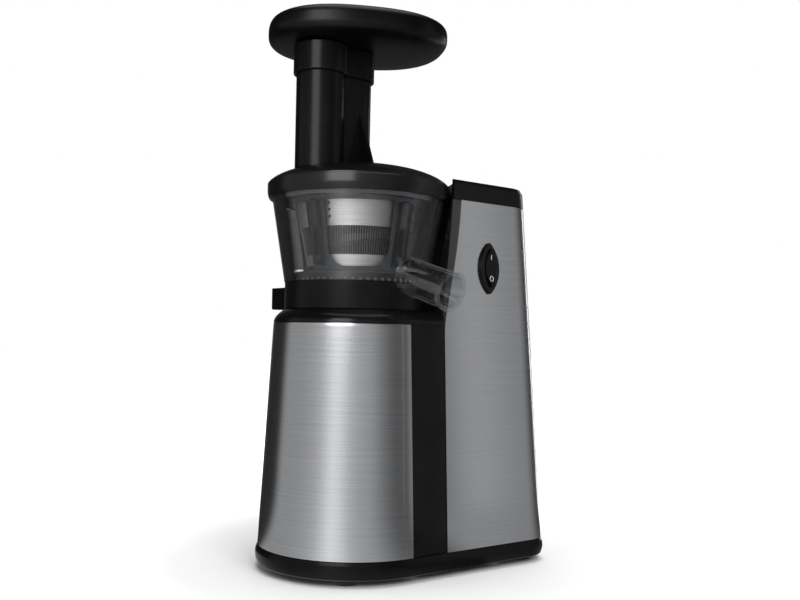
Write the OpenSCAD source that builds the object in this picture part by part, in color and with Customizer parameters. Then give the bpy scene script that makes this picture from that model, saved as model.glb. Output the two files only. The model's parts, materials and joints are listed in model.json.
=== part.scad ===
// Vertical cold press juicer: a tapered motor body with a tall rear tower, and on its
// round deck a clear bowl with a screw, strainer and spinning brush under a chute lid.
// Millimetres, +Z up, +X the juice side, -Y the round nose, +Y the tower.

/* [Base] */
// Height of the rubber feet
foot_h = 5; // [3:0.5:9]
// Radius of a rubber foot where it meets the tray
foot_r = 8.5; // [6:0.5:11]
// Height of the black base rim
rim_h = 14; // [10:1:22]
// How far the base rim bulges past the steel
rim_bulge = 1.9; // [0.5:0.1:4]
// Thickness of the tray floor
tray_t = 3; // [2:0.5:5]
// Width of one air slot in the tray floor
vent_w = 3; // [2:0.5:5]

/* [Body] */
// Half width of the body at the bottom of the steel
skirt_half_w = 74.5; // [70:0.5:90]
// Distance from the drive axis back to the rear wall at the bottom
body_rear = 155; // [146:1:175]
// Slope of the walls from upright, the same all round
draft_angle = 3; // [1:0.1:3.6]
// Radius of the rounded rear corners
rear_corner_r = 28; // [14:1:32]
// Height of the steel sleeve round the nose
sleeve_h = 173; // [165:1:190]
// Height of the black shoulder over the sleeve
shoulder_h = 11; // [9:0.5:14]
// Wall of the plastic housings
wall = 2.8; // [2:0.1:3.6]
// Thickness of the steel sheet
steel_t = 0.8; // [0.5:0.1:1.2]
// Where the nose sleeve ends on the flanks, behind the drive axis
sleeve_end = 4; // [0:1:10]
// Where the side panel starts on the flanks, behind the drive axis
panel_start = 37.5; // [34:0.5:44]

/* [Tower] */
// Height of the side panels' top edge over the table
panel_top = 291.5; // [280:0.5:310]
// Height of the black tower cap
cap_h = 14.5; // [10:0.5:22]
// How far the tower's front edge leans back at the top
front_lean = 12; // [6:0.5:16]
// How far the side panel's front edge leans back at the top
panel_lean = 19; // [12:0.5:24]

/* [Bowl] */
// Height of the black ring
ring_h = 20.7; // [18:0.1:24]
// Outer radius of the bowl at its bottom
bowl_low_r = 57.6; // [57:0.2:60]
// Outer radius of the bowl under the lid
bowl_top_r = 68.2; // [67:0.2:72]
// Height of the clear part of the bowl
bowl_h = 69; // [66:0.5:74]
// Wall of the bowl
bowl_wall = 2.6; // [2:0.1:3.2]
// Thickness of the bowl floor
bowl_floor_t = 3; // [2:0.5:3.5]
// Bore radius of the juice spout
spout_bore_r = 12; // [9:0.5:12.5]
// Wall of the juice spout
spout_wall = 1.8; // [1.2:0.1:3]
// Downward slope of the juice spout
spout_dip = 17; // [10:1:22]
// Turn of the juice spout towards the tower
spout_turn = 7.5; // [0:0.5:9]
// Reach of the juice spout from the drive axis
spout_reach = 102; // [90:1:115]
// Inner width of the pulp channel
pulp_w = 22; // [18:1:24]
// Reach of the pulp channel from the drive axis
pulp_reach = 114; // [95:1:125]

/* [Screw and strainer] */
// Space between the strainer and the bowl's outside at the bottom
low_space = 18.6; // [17.6:0.2:20.6]
// Space between the strainer and the bowl's outside at the top
top_space = 18.2; // [17.2:0.2:22.2]
// Thickness of the strainer sheet
strainer_t = 0.8; // [0.5:0.1:1.2]
// Number of juice slots round the strainer
slot_count = 48; // [24:4:60]
// Width of one juice slot
slot_w = 1.4; // [0.8:0.1:2]
// Running gap between the screw and the strainer
screw_gap = 1.2; // [0.8:0.1:2]
// Core radius of the screw at its bottom
core_low_r = 25; // [20:0.5:28]
// Core radius of the screw at its top
core_top_r = 14; // [11:0.5:18]
// Turns of the screw's flight
flight_turns = 1.6; // [1:0.1:2]
// Number of flights
flight_count = 2; // [1:1:3]
// Number of windows and wipers round the brush
window_count = 5; // [4:1:6]

/* [Lid and pusher] */
// How far the lid reaches out past the bowl
lid_overhang = 4.1; // [3.6:0.1:5.2]
// Height of the lid's rim
lid_rim_h = 12; // [9:0.5:14]
// Rise of the lid's crown over its rim
crown_h = 16; // [13:0.5:20]
// Outer radius of the feed tube
feed_r = 19; // [17:0.5:19.5]
// Wall of the feed tube
feed_wall = 2.6; // [1.8:0.1:3.2]
// Distance of the feed tube in from the bowl's edge
feed_inset = 11.2; // [10:0.1:13]
// Radius of the brace column behind the feed tube
brace_r = 12; // [9:0.5:13]
// Height of the feed tube over the lid's crown
feed_h = 80; // [60:1:100]
// Length of the pusher knob
knob_l = 159; // [130:1:170]
// Width of the pusher knob
knob_w = 110; // [90:1:120]
// Height of the pusher knob
knob_h = 34; // [26:1:42]
// Height of the pusher's collar
collar_h = 22; // [16:1:30]

/* [Drive] */
// Tooth module of the motor stage
fast_module = 1; // [0.8:0.05:1]
// Tooth module of the output stage
slow_module = 1.5; // [1.3:0.05:1.55]
// Teeth of both pinions
pinion_teeth = 15; // [14:1:16]
// Teeth of both driven gears
wheel_teeth = 60; // [54:1:60]
// Radius of the drive shaft
shaft_r = 8; // [7.2:0.1:8.5]
// Size across the flats of the drive hexagon
hex_af = 12; // [9:0.5:12]
// Radius of the motor
motor_r = 33; // [28:0.5:34]
// Space between the brush's toothed ring and the bowl's inside
ring_space = 11; // [10.6:0.1:13]
// Teeth of the screw's gear
sun_teeth = 20; // [20:1:20]
// Teeth of the brush idler
idler_teeth = 12; // [12:1:12]

/* [Switch] */
// Height of the switch bezel
bezel_h = 41; // [36:1:48]
// Width of the switch bezel
bezel_w = 19.5; // [17:0.5:24]
// Height of the rocker
rocker_h = 30; // [24:1:31]
// Height of the switch over the table
switch_z = 239; // [225:1:255]
// Place of the switch behind the drive axis
switch_y = 84; // [76:1:96]

/* [Fits] */
// Running clearance of shafts in their bores
run_gap = 0.06; // [0.03:0.01:0.1]
// Gap between pieces that lift apart
lift_gap = 0.3; // [0.2:0.05:0.5]
// Gap between pieces that are fixed together
seat_gap = 0.1; // [0.05:0.05:0.2]
// Play between gear teeth
tooth_play = 0.25; // [0.15:0.05:0.4]

/* [Hidden] */
$fn = 96;
small = 32;
eps = 0.01;

// Heights over the table
tray_z = foot_h;
skirt_z = tray_z + rim_h;
shoulder_z = skirt_z + sleeve_h;
deck_z = shoulder_z + shoulder_h;
deck_t = wall;
cap_top = panel_top + cap_h;
ring_z = deck_z + lift_gap;
bowl_z = ring_z + ring_h;
floor_top = bowl_z - 1;
floor_z = floor_top - bowl_floor_t;
bowl_top = bowl_z + bowl_h;
lid_z = bowl_top - 3.5;
lid_rim_top = lid_z + lid_rim_h;
crown_top = lid_rim_top + crown_h;
feed_top = crown_top + feed_h;
collar_top = feed_top + lift_gap + 4;
collar_z = collar_top - collar_h;

// The body's outline: it narrows by the same draft at the nose, flanks and rear
draft = tan(draft_angle);
skin = steel_t + seat_gap;
function half_w(z) = skirt_half_w - draft * (z - skirt_z);
function rear_y(z) = body_rear - draft * (z - skirt_z);

// Deck and bowl
ring_r = bowl_low_r - 0.4;
lid_r = bowl_top_r + lid_overhang;
recess_gap = 3;
recess_low_r = ring_r + recess_gap + 1;
recess_top_r = lid_r + recess_gap;
bowl_bottom_r = ring_r - bowl_wall - seat_gap;
collar_r = 15;
hub_r = collar_r + 0.6;

// Brush gears: the screw's gear drives an idler, and the idler the brush's toothed ring
ring_teeth = sun_teeth + 2 * idler_teeth;
brush_gear_r = bowl_low_r - bowl_wall - ring_space;
brush_module = 2 * brush_gear_r / ring_teeth;
sun_r = sun_teeth * brush_module / 2;
idler_r = idler_teeth * brush_module / 2;
idler_at = sun_r + idler_r;
brush_gear_z = floor_top + 1;
brush_gear_t = 6.5;
brush_out_r = brush_gear_r + 1.5 * brush_module + 3;
window_phase = -34;

// Strainer, screw and brush
strainer_low_r = bowl_low_r - low_space;
strainer_top_r = bowl_top_r - top_space;
strainer_z = brush_gear_z + brush_gear_t + 0.5;
strainer_floor_t = 2;
strainer_top = bowl_top - 2;
strainer_slope = (strainer_top_r - strainer_low_r) / (strainer_top - strainer_z);
function strainer_r(z) = strainer_low_r + strainer_slope * (z - strainer_z);
rib_t = 1;
brush_gap = 0.4;
brush_wall = 2;
function brush_r(z) = strainer_r(z) + rib_t + brush_gap;
function bowl_in_r(z) = bowl_low_r - bowl_wall + (bowl_top_r - bowl_low_r) * (z - bowl_z) / bowl_h;
screw_z = strainer_z + strainer_floor_t + 0.6;
screw_top = strainer_top - 1.5;
pin_r = 5;
pin_top = lid_rim_top + 1;
hex_r = hex_af / sqrt(3);
hex_top = screw_z + 22;
pulp_at = idler_at;
pulp_bore = 0.6 * idler_r;
seat_ring_r = 1.3 * sun_r;

// Gear train in the base: motor pinion, cluster gear, output gear
fast_centre = (pinion_teeth + wheel_teeth) * fast_module / 2;
slow_centre = (pinion_teeth + wheel_teeth) * slow_module / 2;
cluster_y = slow_centre;
motor_y = slow_centre + fast_centre;
case_z = 122;
case_wall = 2.5;
fast_z = case_z + case_wall + 4;
fast_t = 8;
slow_z = fast_z + fast_t + 6;
slow_t = 14;
case_split = slow_z - 3;
case_top = slow_z + slow_t + 3 + case_wall;
slow_gear_r = slow_module * (wheel_teeth / 2 + 1);
fast_gear_r = fast_module * (wheel_teeth / 2 + 1);
axle_r = 4;
bush_wall = 2;
motor_shaft_r = 4;
motor_z = 40;
bell_t = 6;
motor_top = case_z - lift_gap;

// Lid, feed tube and pusher
feed_offset = bowl_top_r - feed_r - feed_inset;
feed_bore = feed_r - feed_wall;
stem_gap = 0.4;
stem_r = feed_bore - stem_gap;
collar_wall = 2;
brace_at = 5;
funnel_r = strainer_top_r - 1;

// Switch
switch_lean = draft_angle;
bezel_t = 2.4;
rocker_w = 11;
window_h = rocker_h + 2;
window_w = rocker_w + 1;
pivot_depth = 4;
pivot_r = 1.2;
frame_depth = 8;
dish_r = 2 * rocker_h + 1.2;

// Middle of the whole object, which the frame's origin stands under
knob_reach = knob_l / 2;
spout_r = spout_bore_r + spout_wall;
bead = 1.2;
mouth_spread = sqrt(1 - pow(cos(spout_dip) * cos(spout_turn), 2));
mid_x = (spout_reach * cos(spout_turn) + (spout_r + bead) * mouth_spread - pulp_reach) / 2;
rim_reach = max([for (p = tray_section(0)) p[0]]);
mid_y = (body_rear + rim_reach - knob_reach) / 2;

// ---- Shared forms ----

// A point on a cubic curve through a and d, with handles b and c
function curve_point(a, b, c, d, t) =
    a * pow(1 - t, 3) + 3 * b * t * pow(1 - t, 2) + 3 * c * t * t * (1 - t) + d * pow(t, 3);
function curve(a, b, c, d, steps) = [for (i = [0:steps]) curve_point(a, b, c, d, i / steps)];
function turned(p, angle) = [p[0] * cos(angle) - p[1] * sin(angle), p[0] * sin(angle) + p[1] * cos(angle)];
function mirrored(points) = [for (i = [len(points) - 1:-1:0]) [-points[i][0], points[i][1]]];

// Puts the model over its origin
module placed() translate([-mid_x, -mid_y, 0]) children();

module tube(r, bore, z0, z1) translate([0, 0, z0]) difference() {
    cylinder(r = r, h = z1 - z0);
    translate([0, 0, -1]) cylinder(r = bore, h = z1 - z0 + 2);
}

// Half a turn of a profile round the nose
module nose_turn() rotate([0, 0, 180]) rotate_extrude(angle = 180) children();

// A profile in the XZ plane drawn out along Y
module along_y(y0, y1) translate([0, y1, 0]) rotate([90, 0, 0]) linear_extrude(y1 - y0) children();

// A profile in the YZ plane drawn out along X, both ways
module across_x(width) rotate([90, 0, 90]) linear_extrude(width, center = true) children();

// The tower's tapered block with round rear corners, from y0 back
module tower_block(y0, z0, z1, inset, top_inset = 0) hull() for (end = [0, 1]) {
    z = end == 0 ? z0 : z1 - eps;
    in = inset + end * top_inset;
    r = rear_corner_r - in;
    w = half_w(z) - in;
    back = rear_y(z) - in;
    translate([0, 0, z]) linear_extrude(eps) {
        for (side = [-1, 1]) translate([side * (w - r), back - r]) circle(r, $fn = 64);
        translate([-w, y0]) square([2 * w, 1]);
    }
}

// The tower's front edge and the side panel's front edge, seen from the side
function front_edge() = curve([panel_start - 1.5, deck_z - 8], [panel_start, deck_z + 14],
    [panel_start + front_lean * 0.7, deck_z + 52], [panel_start + front_lean, cap_top], 12);
function panel_edge() = curve([panel_start, shoulder_z - 6], [panel_start, shoulder_z + 11],
    [panel_start + panel_lean * 0.76, shoulder_z + 48], [panel_start + panel_lean, panel_top], 14);

// The hollow for the bowl in the tower's front, with grow taken off its wall
module bowl_recess(grow, z0) {
    translate([0, 0, z0]) cylinder(r1 = recess_low_r + grow, r2 = recess_top_r + grow, h = lid_z - z0);
    translate([0, 0, lid_z - eps]) cylinder(r = recess_top_r + grow, h = cap_top);
}

// Involute gear outline: half angles of a tooth at each radius, then the ring of teeth
function involute(a) = tan(a) * 180 / PI - a;
function half_tooth(r, rb, rp, base, play) =
    let (a = r > rb ? acos(rb / r) : 0)
    90 / base + involute(acos(rb / rp)) - involute(a) - play / 4 / rp * 180 / PI;
function gear_points(teeth, m, tip, root, play, turn) =
    let (rp = teeth * m / 2, rb = rp * cos(20), ra = rp + tip * m, rf = rp - root * m,
         low = max(rb, rf) + 0.02 * m,
         radii = [rf, low, (low + rp) / 2, rp, (rp + ra) / 2, ra])
    [for (i = [0:teeth - 1]) for (side = [-1, 1]) for (k = [0:5])
        let (r = radii[side < 0 ? k : 5 - k],
             a = i * 360 / teeth + turn + side * half_tooth(max(r, low), rb, rp, teeth, play))
        [r * cos(a), r * sin(a)]];
tip_share = 0.8;
root_share = 1.05;
module gear(teeth, m, z0, t, turn) translate([0, 0, z0]) linear_extrude(t)
    polygon(gear_points(teeth, m, tip_share, root_share, tooth_play, turn));

// Turns a gear so that a gap between its teeth faces -Y, to meet a tooth there
function gap_at_front(teeth) = 270 + 180 / teeth;

// A pointed oval plate lying on its back, made of two crossing discs
module pointed_oval(h, w, z0, z1) {
    r = (h * h + w * w) / (4 * w);
    intersection_for (side = [-1, 1])
        translate([0, side * (r - w / 2), z0]) cylinder(r = r, h = z1 - z0, $fn = 128);
}

// ---- Base ----

// Section of the tray: floor and bulging rim, for a corner of radius r
function tray_section(r) = concat(
    [[0, tray_z], [r - 0.5, tray_z]],
    curve([r + 0.6, tray_z + 1], [r + 1.3 * rim_bulge, tray_z + rim_h * 0.45],
          [r + rim_bulge, tray_z + rim_h * 0.7], [r, skirt_z - 0.6], 5),
    [[r - 1, skirt_z - 0.1], [r - 5, skirt_z - 0.1], [r - 5, tray_z + tray_t], [0, tray_z + tray_t]]);

foot_places = [[-46, -36], [46, -36], [-54, body_rear - 22], [54, body_rear - 22]];
screw_places = [[-60, 14], [60, 14], [-60, 100], [60, 100]];
post_r = 4.5;
post_top = 27;
screw_r = 1.6;
screw_head_r = 3.2;
screw_head_t = 1.6;

module base_tray() color([0.06, 0.06, 0.065]) placed() difference() {
    union() {
        nose_turn() polygon(tray_section(skirt_half_w));
        along_y(0, body_rear - rear_corner_r)
            polygon(concat(tray_section(skirt_half_w), mirrored(tray_section(skirt_half_w))));
        for (side = [0, 1]) mirror([side, 0, 0])
            translate([skirt_half_w - rear_corner_r, body_rear - rear_corner_r, 0])
                rotate_extrude(angle = 90) polygon(tray_section(rear_corner_r));
        rotate([0, 0, 90]) translate([body_rear - rear_corner_r, 0, 0])
            along_y(-(skirt_half_w - rear_corner_r), skirt_half_w - rear_corner_r)
                polygon(tray_section(rear_corner_r));
        for (p = screw_places) translate([p[0], p[1], tray_z + 1])
            cylinder(r = post_r, h = post_top - tray_z - 1);
    }
    for (p = screw_places) translate([p[0], p[1], 0]) {
        cylinder(r = screw_r + seat_gap, h = post_top + 1);
        translate([0, 0, tray_z - 1]) cylinder(r = screw_head_r + seat_gap, h = 1 + screw_head_t + seat_gap);
    }
    for (row = [-1, 1]) for (i = [-4:4])
        translate([i * 2.2 * vent_w - vent_w / 2, motor_y + row * 14 - 11, tray_z - 1])
            cube([vent_w, 22, tray_t + 2]);
}

module rubber_feet() color([0.03, 0.03, 0.03]) placed() for (p = foot_places)
    translate([p[0], p[1], 0]) cylinder(r1 = foot_r + 0.8, r2 = foot_r, h = foot_h);

module tray_screws() color([0.6, 0.6, 0.6]) placed() for (p = screw_places) translate([p[0], p[1], tray_z + 0.1]) {
    cylinder(r = screw_head_r, h = screw_head_t);
    translate([0, 0, screw_head_t]) cylinder(r = screw_r, h = post_top + 12 - tray_z - screw_head_t, $fn = small);
}

// Half section of the front housing: skin bed, shoulder and deck, then the inside
function shoulder_curve() = curve([half_w(shoulder_z), shoulder_z + 0.2], [half_w(shoulder_z) - 0.2, shoulder_z + 4],
    [half_w(shoulder_z) - 2.7, shoulder_z + 7.2], [ring_r - 0.4, deck_z], 6);
function front_section() = concat([[0, skirt_z], [half_w(skirt_z) - skin, skirt_z],
    [half_w(shoulder_z) - skin, shoulder_z + 0.2]], shoulder_curve(), [[0, deck_z]]);
function front_hollow() = [[0, skirt_z - 1], [half_w(skirt_z - 1) - skin - wall, skirt_z - 1],
    [half_w(shoulder_z - 4) - skin - wall, shoulder_z - 4], [ring_r - 5, deck_z - deck_t], [0, deck_z - deck_t]];

// A hollow screw boss on the inside of a flank
module flank_boss(p) {
    side = sign(p[0]);
    difference() {
        union() {
            translate([p[0], p[1], post_top + seat_gap]) cylinder(r = post_r, h = 18);
            translate([min(p[0], side * (half_w(post_top + 18) - skin - 1)), p[1] - 1.5, post_top + seat_gap])
                cube([abs(half_w(post_top + 18) - skin - 1 - abs(p[0])), 3, 18]);
        }
        translate([p[0], p[1], 0]) cylinder(r = screw_r + seat_gap, h = post_top + 14);
    }
}

module front_housing() color([0.07, 0.07, 0.075]) placed() difference() {
    union() {
        difference() {
            union() {
                nose_turn() polygon(front_section());
                along_y(0, panel_start) polygon(concat(front_section(), mirrored(front_section())));
            }
            nose_turn() polygon(front_hollow());
            along_y(0, panel_start + 1) polygon(concat(front_hollow(), mirrored(front_hollow())));
        }
        for (p = [screw_places[0], screw_places[1]]) flank_boss(p);
        tube(collar_r, 12, deck_z - 1, deck_z + 4);
    }
    translate([0, 0, deck_z - 10]) cylinder(r = 12, h = 20);
}

module tower_housing() color([0.07, 0.07, 0.075]) placed() {
    low = panel_start;
    difference() {
        intersection() {
            tower_block(panel_start - 2, skirt_z, panel_top, skin);
            across_x(4 * skirt_half_w) polygon(concat([[low, 0], [low, deck_z]],
                [for (p = front_edge()) if (p[1] > deck_z) p], [[2 * body_rear, cap_top], [2 * body_rear, 0]]));
        }
        bowl_recess(0, deck_z);
        difference() {
            intersection() {
                tower_block(panel_start - 3, skirt_z - 1, panel_top + 1, skin + wall);
                across_x(4 * skirt_half_w) polygon(concat([[low - 4, 0], [low - 4, deck_z - deck_t],
                    [low + wall, deck_z - deck_t]],
                    [for (p = front_edge()) if (p[1] > deck_z + 2) p + [wall, 0]],
                    [[2 * body_rear, cap_top], [2 * body_rear, 0]]));
            }
            bowl_recess(wall, deck_z - deck_t);
            translate([-100, low - 10, board_z - 5]) cube([200, 200, wall]);
        }
        gland_hole();
        switch_hole();
    }
    for (p = [screw_places[2], screw_places[3]]) flank_boss(p);
    for (p = board_posts) translate([p[0], p[1], board_z - 4]) cylinder(r = 3, h = 4 - seat_gap, $fn = small);
}

module tower_cap() color([0.08, 0.08, 0.085]) placed() difference() {
    intersection() {
        union() {
            tower_block(panel_start - 2, panel_top + seat_gap, cap_top - 2, 0);
            tower_block(panel_start - 2, cap_top - 2 - eps, cap_top, 0, 2);
        }
        across_x(4 * skirt_half_w) polygon(concat([for (p = front_edge()) if (p[1] > panel_top - 2 * cap_h) p],
            [[2 * body_rear, cap_top], [2 * body_rear, panel_top - 2 * cap_h]]));
    }
    bowl_recess(0, deck_z);
    difference() {
        intersection() {
            tower_block(panel_start - 2, panel_top - 1, cap_top - 3, wall);
            across_x(4 * skirt_half_w) polygon(concat([for (p = front_edge()) if (p[1] > panel_top - 2 * cap_h) p + [wall, 0]],
                [[2 * body_rear, cap_top], [2 * body_rear, panel_top - 2 * cap_h]]));
        }
        bowl_recess(wall, deck_z);
    }
}

// Section of the sheet round the nose, between skin bed and outline
function sleeve_section() = [[half_w(skirt_z) - steel_t, skirt_z], [half_w(skirt_z), skirt_z],
    [half_w(shoulder_z), shoulder_z], [half_w(shoulder_z) - steel_t, shoulder_z]];
module nose_sleeve() color([0.62, 0.62, 0.63]) placed() {
    nose_turn() polygon(sleeve_section());
    along_y(0, sleeve_end) polygon(sleeve_section());
    along_y(0, sleeve_end) polygon(mirrored(sleeve_section()));
}

module steel_wrap() color([0.6, 0.6, 0.61]) placed() difference() {
    intersection() {
        tower_block(panel_start - 1, skirt_z, panel_top, 0);
        across_x(4 * skirt_half_w) polygon(concat([[panel_start, skirt_z]], panel_edge(),
            [[2 * body_rear, panel_top], [2 * body_rear, skirt_z]]));
    }
    tower_block(panel_start - 3, skirt_z - 1, panel_top + 1, steel_t);
    gland_hole();
    switch_hole();
}

// Cord gland, square to the leaning rear wall
gland_z = 45;
gland_r = 7;
gland_bore = 3.6;
gland_t = 2;
module at_gland() translate([0, rear_y(gland_z), gland_z]) rotate([90 - draft_angle, 0, 180]) children();
module gland_hole() at_gland() translate([0, 0, -12]) cylinder(r = gland_r + seat_gap, h = 20);
module cord_gland() color([0.05, 0.05, 0.05]) placed() at_gland() difference() {
    union() {
        translate([0, 0, seat_gap]) cylinder(r1 = gland_r + 3, r2 = gland_r + 1.5, h = gland_t);
        translate([0, 0, -skin - wall - 5]) cylinder(r = gland_r, h = skin + wall + 6);
        translate([0, 0, -skin - wall - 4.5]) cylinder(r = gland_r + 3, h = 4, $fn = 6);
    }
    translate([0, 0, -20]) cylinder(r = gland_bore, h = 40);
}

// ---- Switch ----

// Lays a child's XY plane on the leaning flank, its +X up the panel
module at_switch() translate([half_w(switch_z), switch_y, switch_z]) rotate([0, 90 - switch_lean, 0])
    rotate([0, 0, 180]) children();
frame_t = 1.9;
module switch_hole() at_switch()
    pointed_oval(window_h + 2 * (frame_t + seat_gap), window_w + 2 * (frame_t + seat_gap), -12, 8);

module switch_bezel() color([0.04, 0.04, 0.04]) placed() at_switch() difference() {
    union() {
        pointed_oval(bezel_h, bezel_w, seat_gap, bezel_t);
        pointed_oval(window_h + 2 * frame_t, window_w + 2 * frame_t, -frame_depth, 1);
    }
    pointed_oval(window_h, window_w, -frame_depth - 1, bezel_t + 1);
    translate([0, 0, -pivot_depth]) rotate([90, 0, 0]) cylinder(r = pivot_r + run_gap, h = 2 * bezel_w, center = true, $fn = small);
}

module switch_rocker() color([0.05, 0.05, 0.055]) placed() at_switch() {
    difference() {
        pointed_oval(rocker_h, rocker_w, -pivot_depth - 2, bezel_t + 2.4);
        translate([0, 0, bezel_t + 0.8 + dish_r]) rotate([90, 0, 0])
            cylinder(r = dish_r, h = 2 * rocker_w, center = true, $fn = 180);
    }
    translate([0, 0, -pivot_depth]) rotate([90, 0, 0])
        cylinder(r = pivot_r, h = window_w + 1.6 * frame_t, center = true, $fn = small);
}

module switch_body() color([0.15, 0.15, 0.16]) placed() at_switch() {
    translate([-15, -7, -frame_depth - 16]) cube([30, 14, 16 - seat_gap]);
    for (i = [-1, 0, 1]) translate([i * 9 - 0.4, -2.4, -frame_depth - 23]) cube([0.8, 4.8, 8]);
}

// ---- Electronics on the tower's shelf ----
board_z = deck_z + 8;
board_w = 62;
board_d = 38;
board_y = 96;
board_posts = [for (x = [-1, 1]) for (y = [0, 1]) [x * (board_w / 2 - 4), board_y + 4 + y * (board_d - 8)]];
module control_board() color([0.1, 0.3, 0.14]) placed()
    translate([-board_w / 2, board_y, board_z]) cube([board_w, board_d, 1.6]);
module board_parts() color([0.2, 0.2, 0.22]) placed() translate([0, board_y, board_z + 1.6 + eps]) {
    translate([-26, 6, 0]) cube([16, 13, 15]);
    translate([-4, 8, 0]) cylinder(r = 5, h = 20, $fn = small);
    translate([10, 6, 0]) cube([18, 10, 12]);
    translate([6, 24, 0]) cube([14, 8, 6]);
    translate([-20, 24, 0]) cylinder(r = 4, h = 9, $fn = small);
}

// ---- Gearbox, hung from the deck ----

// Outline of the gearbox, for wheels of the given radii
module case_outline(z0, z1, inset) {
    for (wheel = [[0, slow_gear_r + 4], [cluster_y, fast_gear_r + 4], [motor_y, 15]])
        translate([0, wheel[0], z0]) cylinder(r = wheel[1] - inset, h = z1 - z0);
    translate([-22 + inset, 0, z0]) cube([44 - 2 * inset, cluster_y, z1 - z0]);
    translate([-13 + inset, cluster_y, z0]) cube([26 - 2 * inset, fast_centre, z1 - z0]);
}
ear_r = 4.6;
case_ears = [for (a = [-150, -75, -30, 30, 150]) (slow_gear_r + 4 + ear_r - 1) * [cos(a), sin(a)]];
case_posts = [for (a = [-135, -45, 45, 135]) 34 * [cos(a), sin(a)]];
module gearbox_case() color([0.55, 0.56, 0.58]) placed() difference() {
    union() {
        difference() {
            case_outline(case_z, case_split, 0);
            case_outline(case_z + case_wall, case_split + 1, case_wall);
        }
        translate([0, 0, case_z + 1]) cylinder(r = shaft_r + bush_wall + 3, h = fast_z - case_z - 2);
        translate([0, cluster_y, case_z + 1]) cylinder(r = axle_r + 3, h = fast_z - case_z - 1.5);
        for (p = case_ears) translate([p[0], p[1], case_split - 6]) cylinder(r = ear_r, h = 6);
    }
    translate([0, 0, case_z + case_wall]) cylinder(r = shaft_r + bush_wall + seat_gap, h = 40);
    translate([0, cluster_y, case_z + case_wall]) cylinder(r = axle_r + seat_gap, h = 40);
    translate([0, motor_y, case_z - 1]) cylinder(r = motor_shaft_r + 1, h = 10);
    for (p = case_ears) translate([p[0], p[1], 0]) cylinder(r = screw_r + seat_gap, h = deck_z);
}

module gearbox_cover() color([0.5, 0.51, 0.53]) placed() difference() {
    union() {
        difference() {
            case_outline(case_split + seat_gap, case_top, 0);
            case_outline(case_split, case_top - case_wall, case_wall);
        }
        translate([0, 0, case_top - 1]) cylinder(r = shaft_r + bush_wall + 4, h = deck_z - deck_t - case_top + 1 - seat_gap);
        translate([0, cluster_y, slow_z + slow_t + 0.5]) cylinder(r = axle_r + 3, h = 4);
        for (p = case_ears) translate([p[0], p[1], case_split + seat_gap]) cylinder(r = ear_r, h = 14);
        for (p = case_posts) translate([p[0], p[1], case_top - 1])
            cylinder(r = 5, h = deck_z - deck_t - case_top + 1 - seat_gap);
    }
    translate([0, 0, case_split]) cylinder(r = shaft_r + bush_wall + seat_gap, h = deck_z);
    translate([0, cluster_y, case_split]) cylinder(r = axle_r + seat_gap, h = case_top - case_split - 1.5);
    for (p = case_ears) translate([p[0], p[1], 0]) cylinder(r = screw_r + seat_gap, h = case_split + 13);
}

module gearbox_screws() color([0.6, 0.6, 0.6]) placed() for (p = case_ears)
    translate([p[0], p[1], case_split - 6 - screw_head_t]) {
        cylinder(r = screw_head_r, h = screw_head_t - seat_gap);
        cylinder(r = screw_r, h = 19, $fn = small);
    }

bush_low = case_z + case_wall + eps;
bush_high = case_top + 6;
module shaft_bushes() color([0.7, 0.55, 0.3]) placed() {
    tube(shaft_r + bush_wall, shaft_r + run_gap, bush_low, fast_z - 1.2);
    tube(shaft_r + bush_wall, shaft_r + run_gap, bush_high, bush_high + 14);
}

module deck_seal() color([0.1, 0.1, 0.1]) placed()
    tube(12 - seat_gap, shaft_r + run_gap, deck_z - deck_t + seat_gap, deck_z + 4.5);

// Round through the bushes and seal, hexagonal inside the screw
module drive_shaft() color([0.7, 0.7, 0.72]) placed() {
    translate([0, 0, bush_low + 0.5]) cylinder(r = shaft_r, h = floor_top + 0.6 - bush_low - 0.5);
    translate([0, 0, floor_top]) cylinder(r = hex_r, h = hex_top - floor_top - 1.5, $fn = 6);
    translate([0, 0, hex_top - 1.5 - eps]) rotate([0, 0, 30])
        cylinder(r1 = hex_af / 2, r2 = hex_af / 2 - 1.2, h = 1.5);
}

module output_gear() color([0.75, 0.73, 0.68]) placed() difference() {
    union() {
        gear(wheel_teeth, slow_module, slow_z, slow_t, 90);
        translate([0, 0, slow_z - 2]) cylinder(r = shaft_r + 6, h = slow_t + 4);
    }
    translate([0, 0, slow_z - 10]) cylinder(r = shaft_r + eps, h = slow_t + 20);
    for (a = [0:60:300]) rotate([0, 0, a]) translate([slow_gear_r * 0.6, 0, slow_z - 1])
        cylinder(r = 7, h = slow_t + 2);
}

module idle_axle() color([0.7, 0.7, 0.72]) placed() translate([0, cluster_y, case_z + case_wall + seat_gap])
    cylinder(r = axle_r, h = slow_z + slow_t + 3 - case_z - case_wall);

module cluster_gear() color([0.75, 0.73, 0.68]) placed() translate([0, cluster_y, 0]) difference() {
    union() {
        gear(wheel_teeth, fast_module, fast_z, fast_t, 90);
        translate([0, 0, fast_z + fast_t - eps]) cylinder(r = slow_module * (pinion_teeth / 2 - 1.2), h = 6);
        gear(pinion_teeth, slow_module, slow_z - 0.5, slow_t, gap_at_front(pinion_teeth));
    }
    translate([0, 0, fast_z - 1]) cylinder(r = axle_r + run_gap, h = slow_z + slow_t);
}

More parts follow.
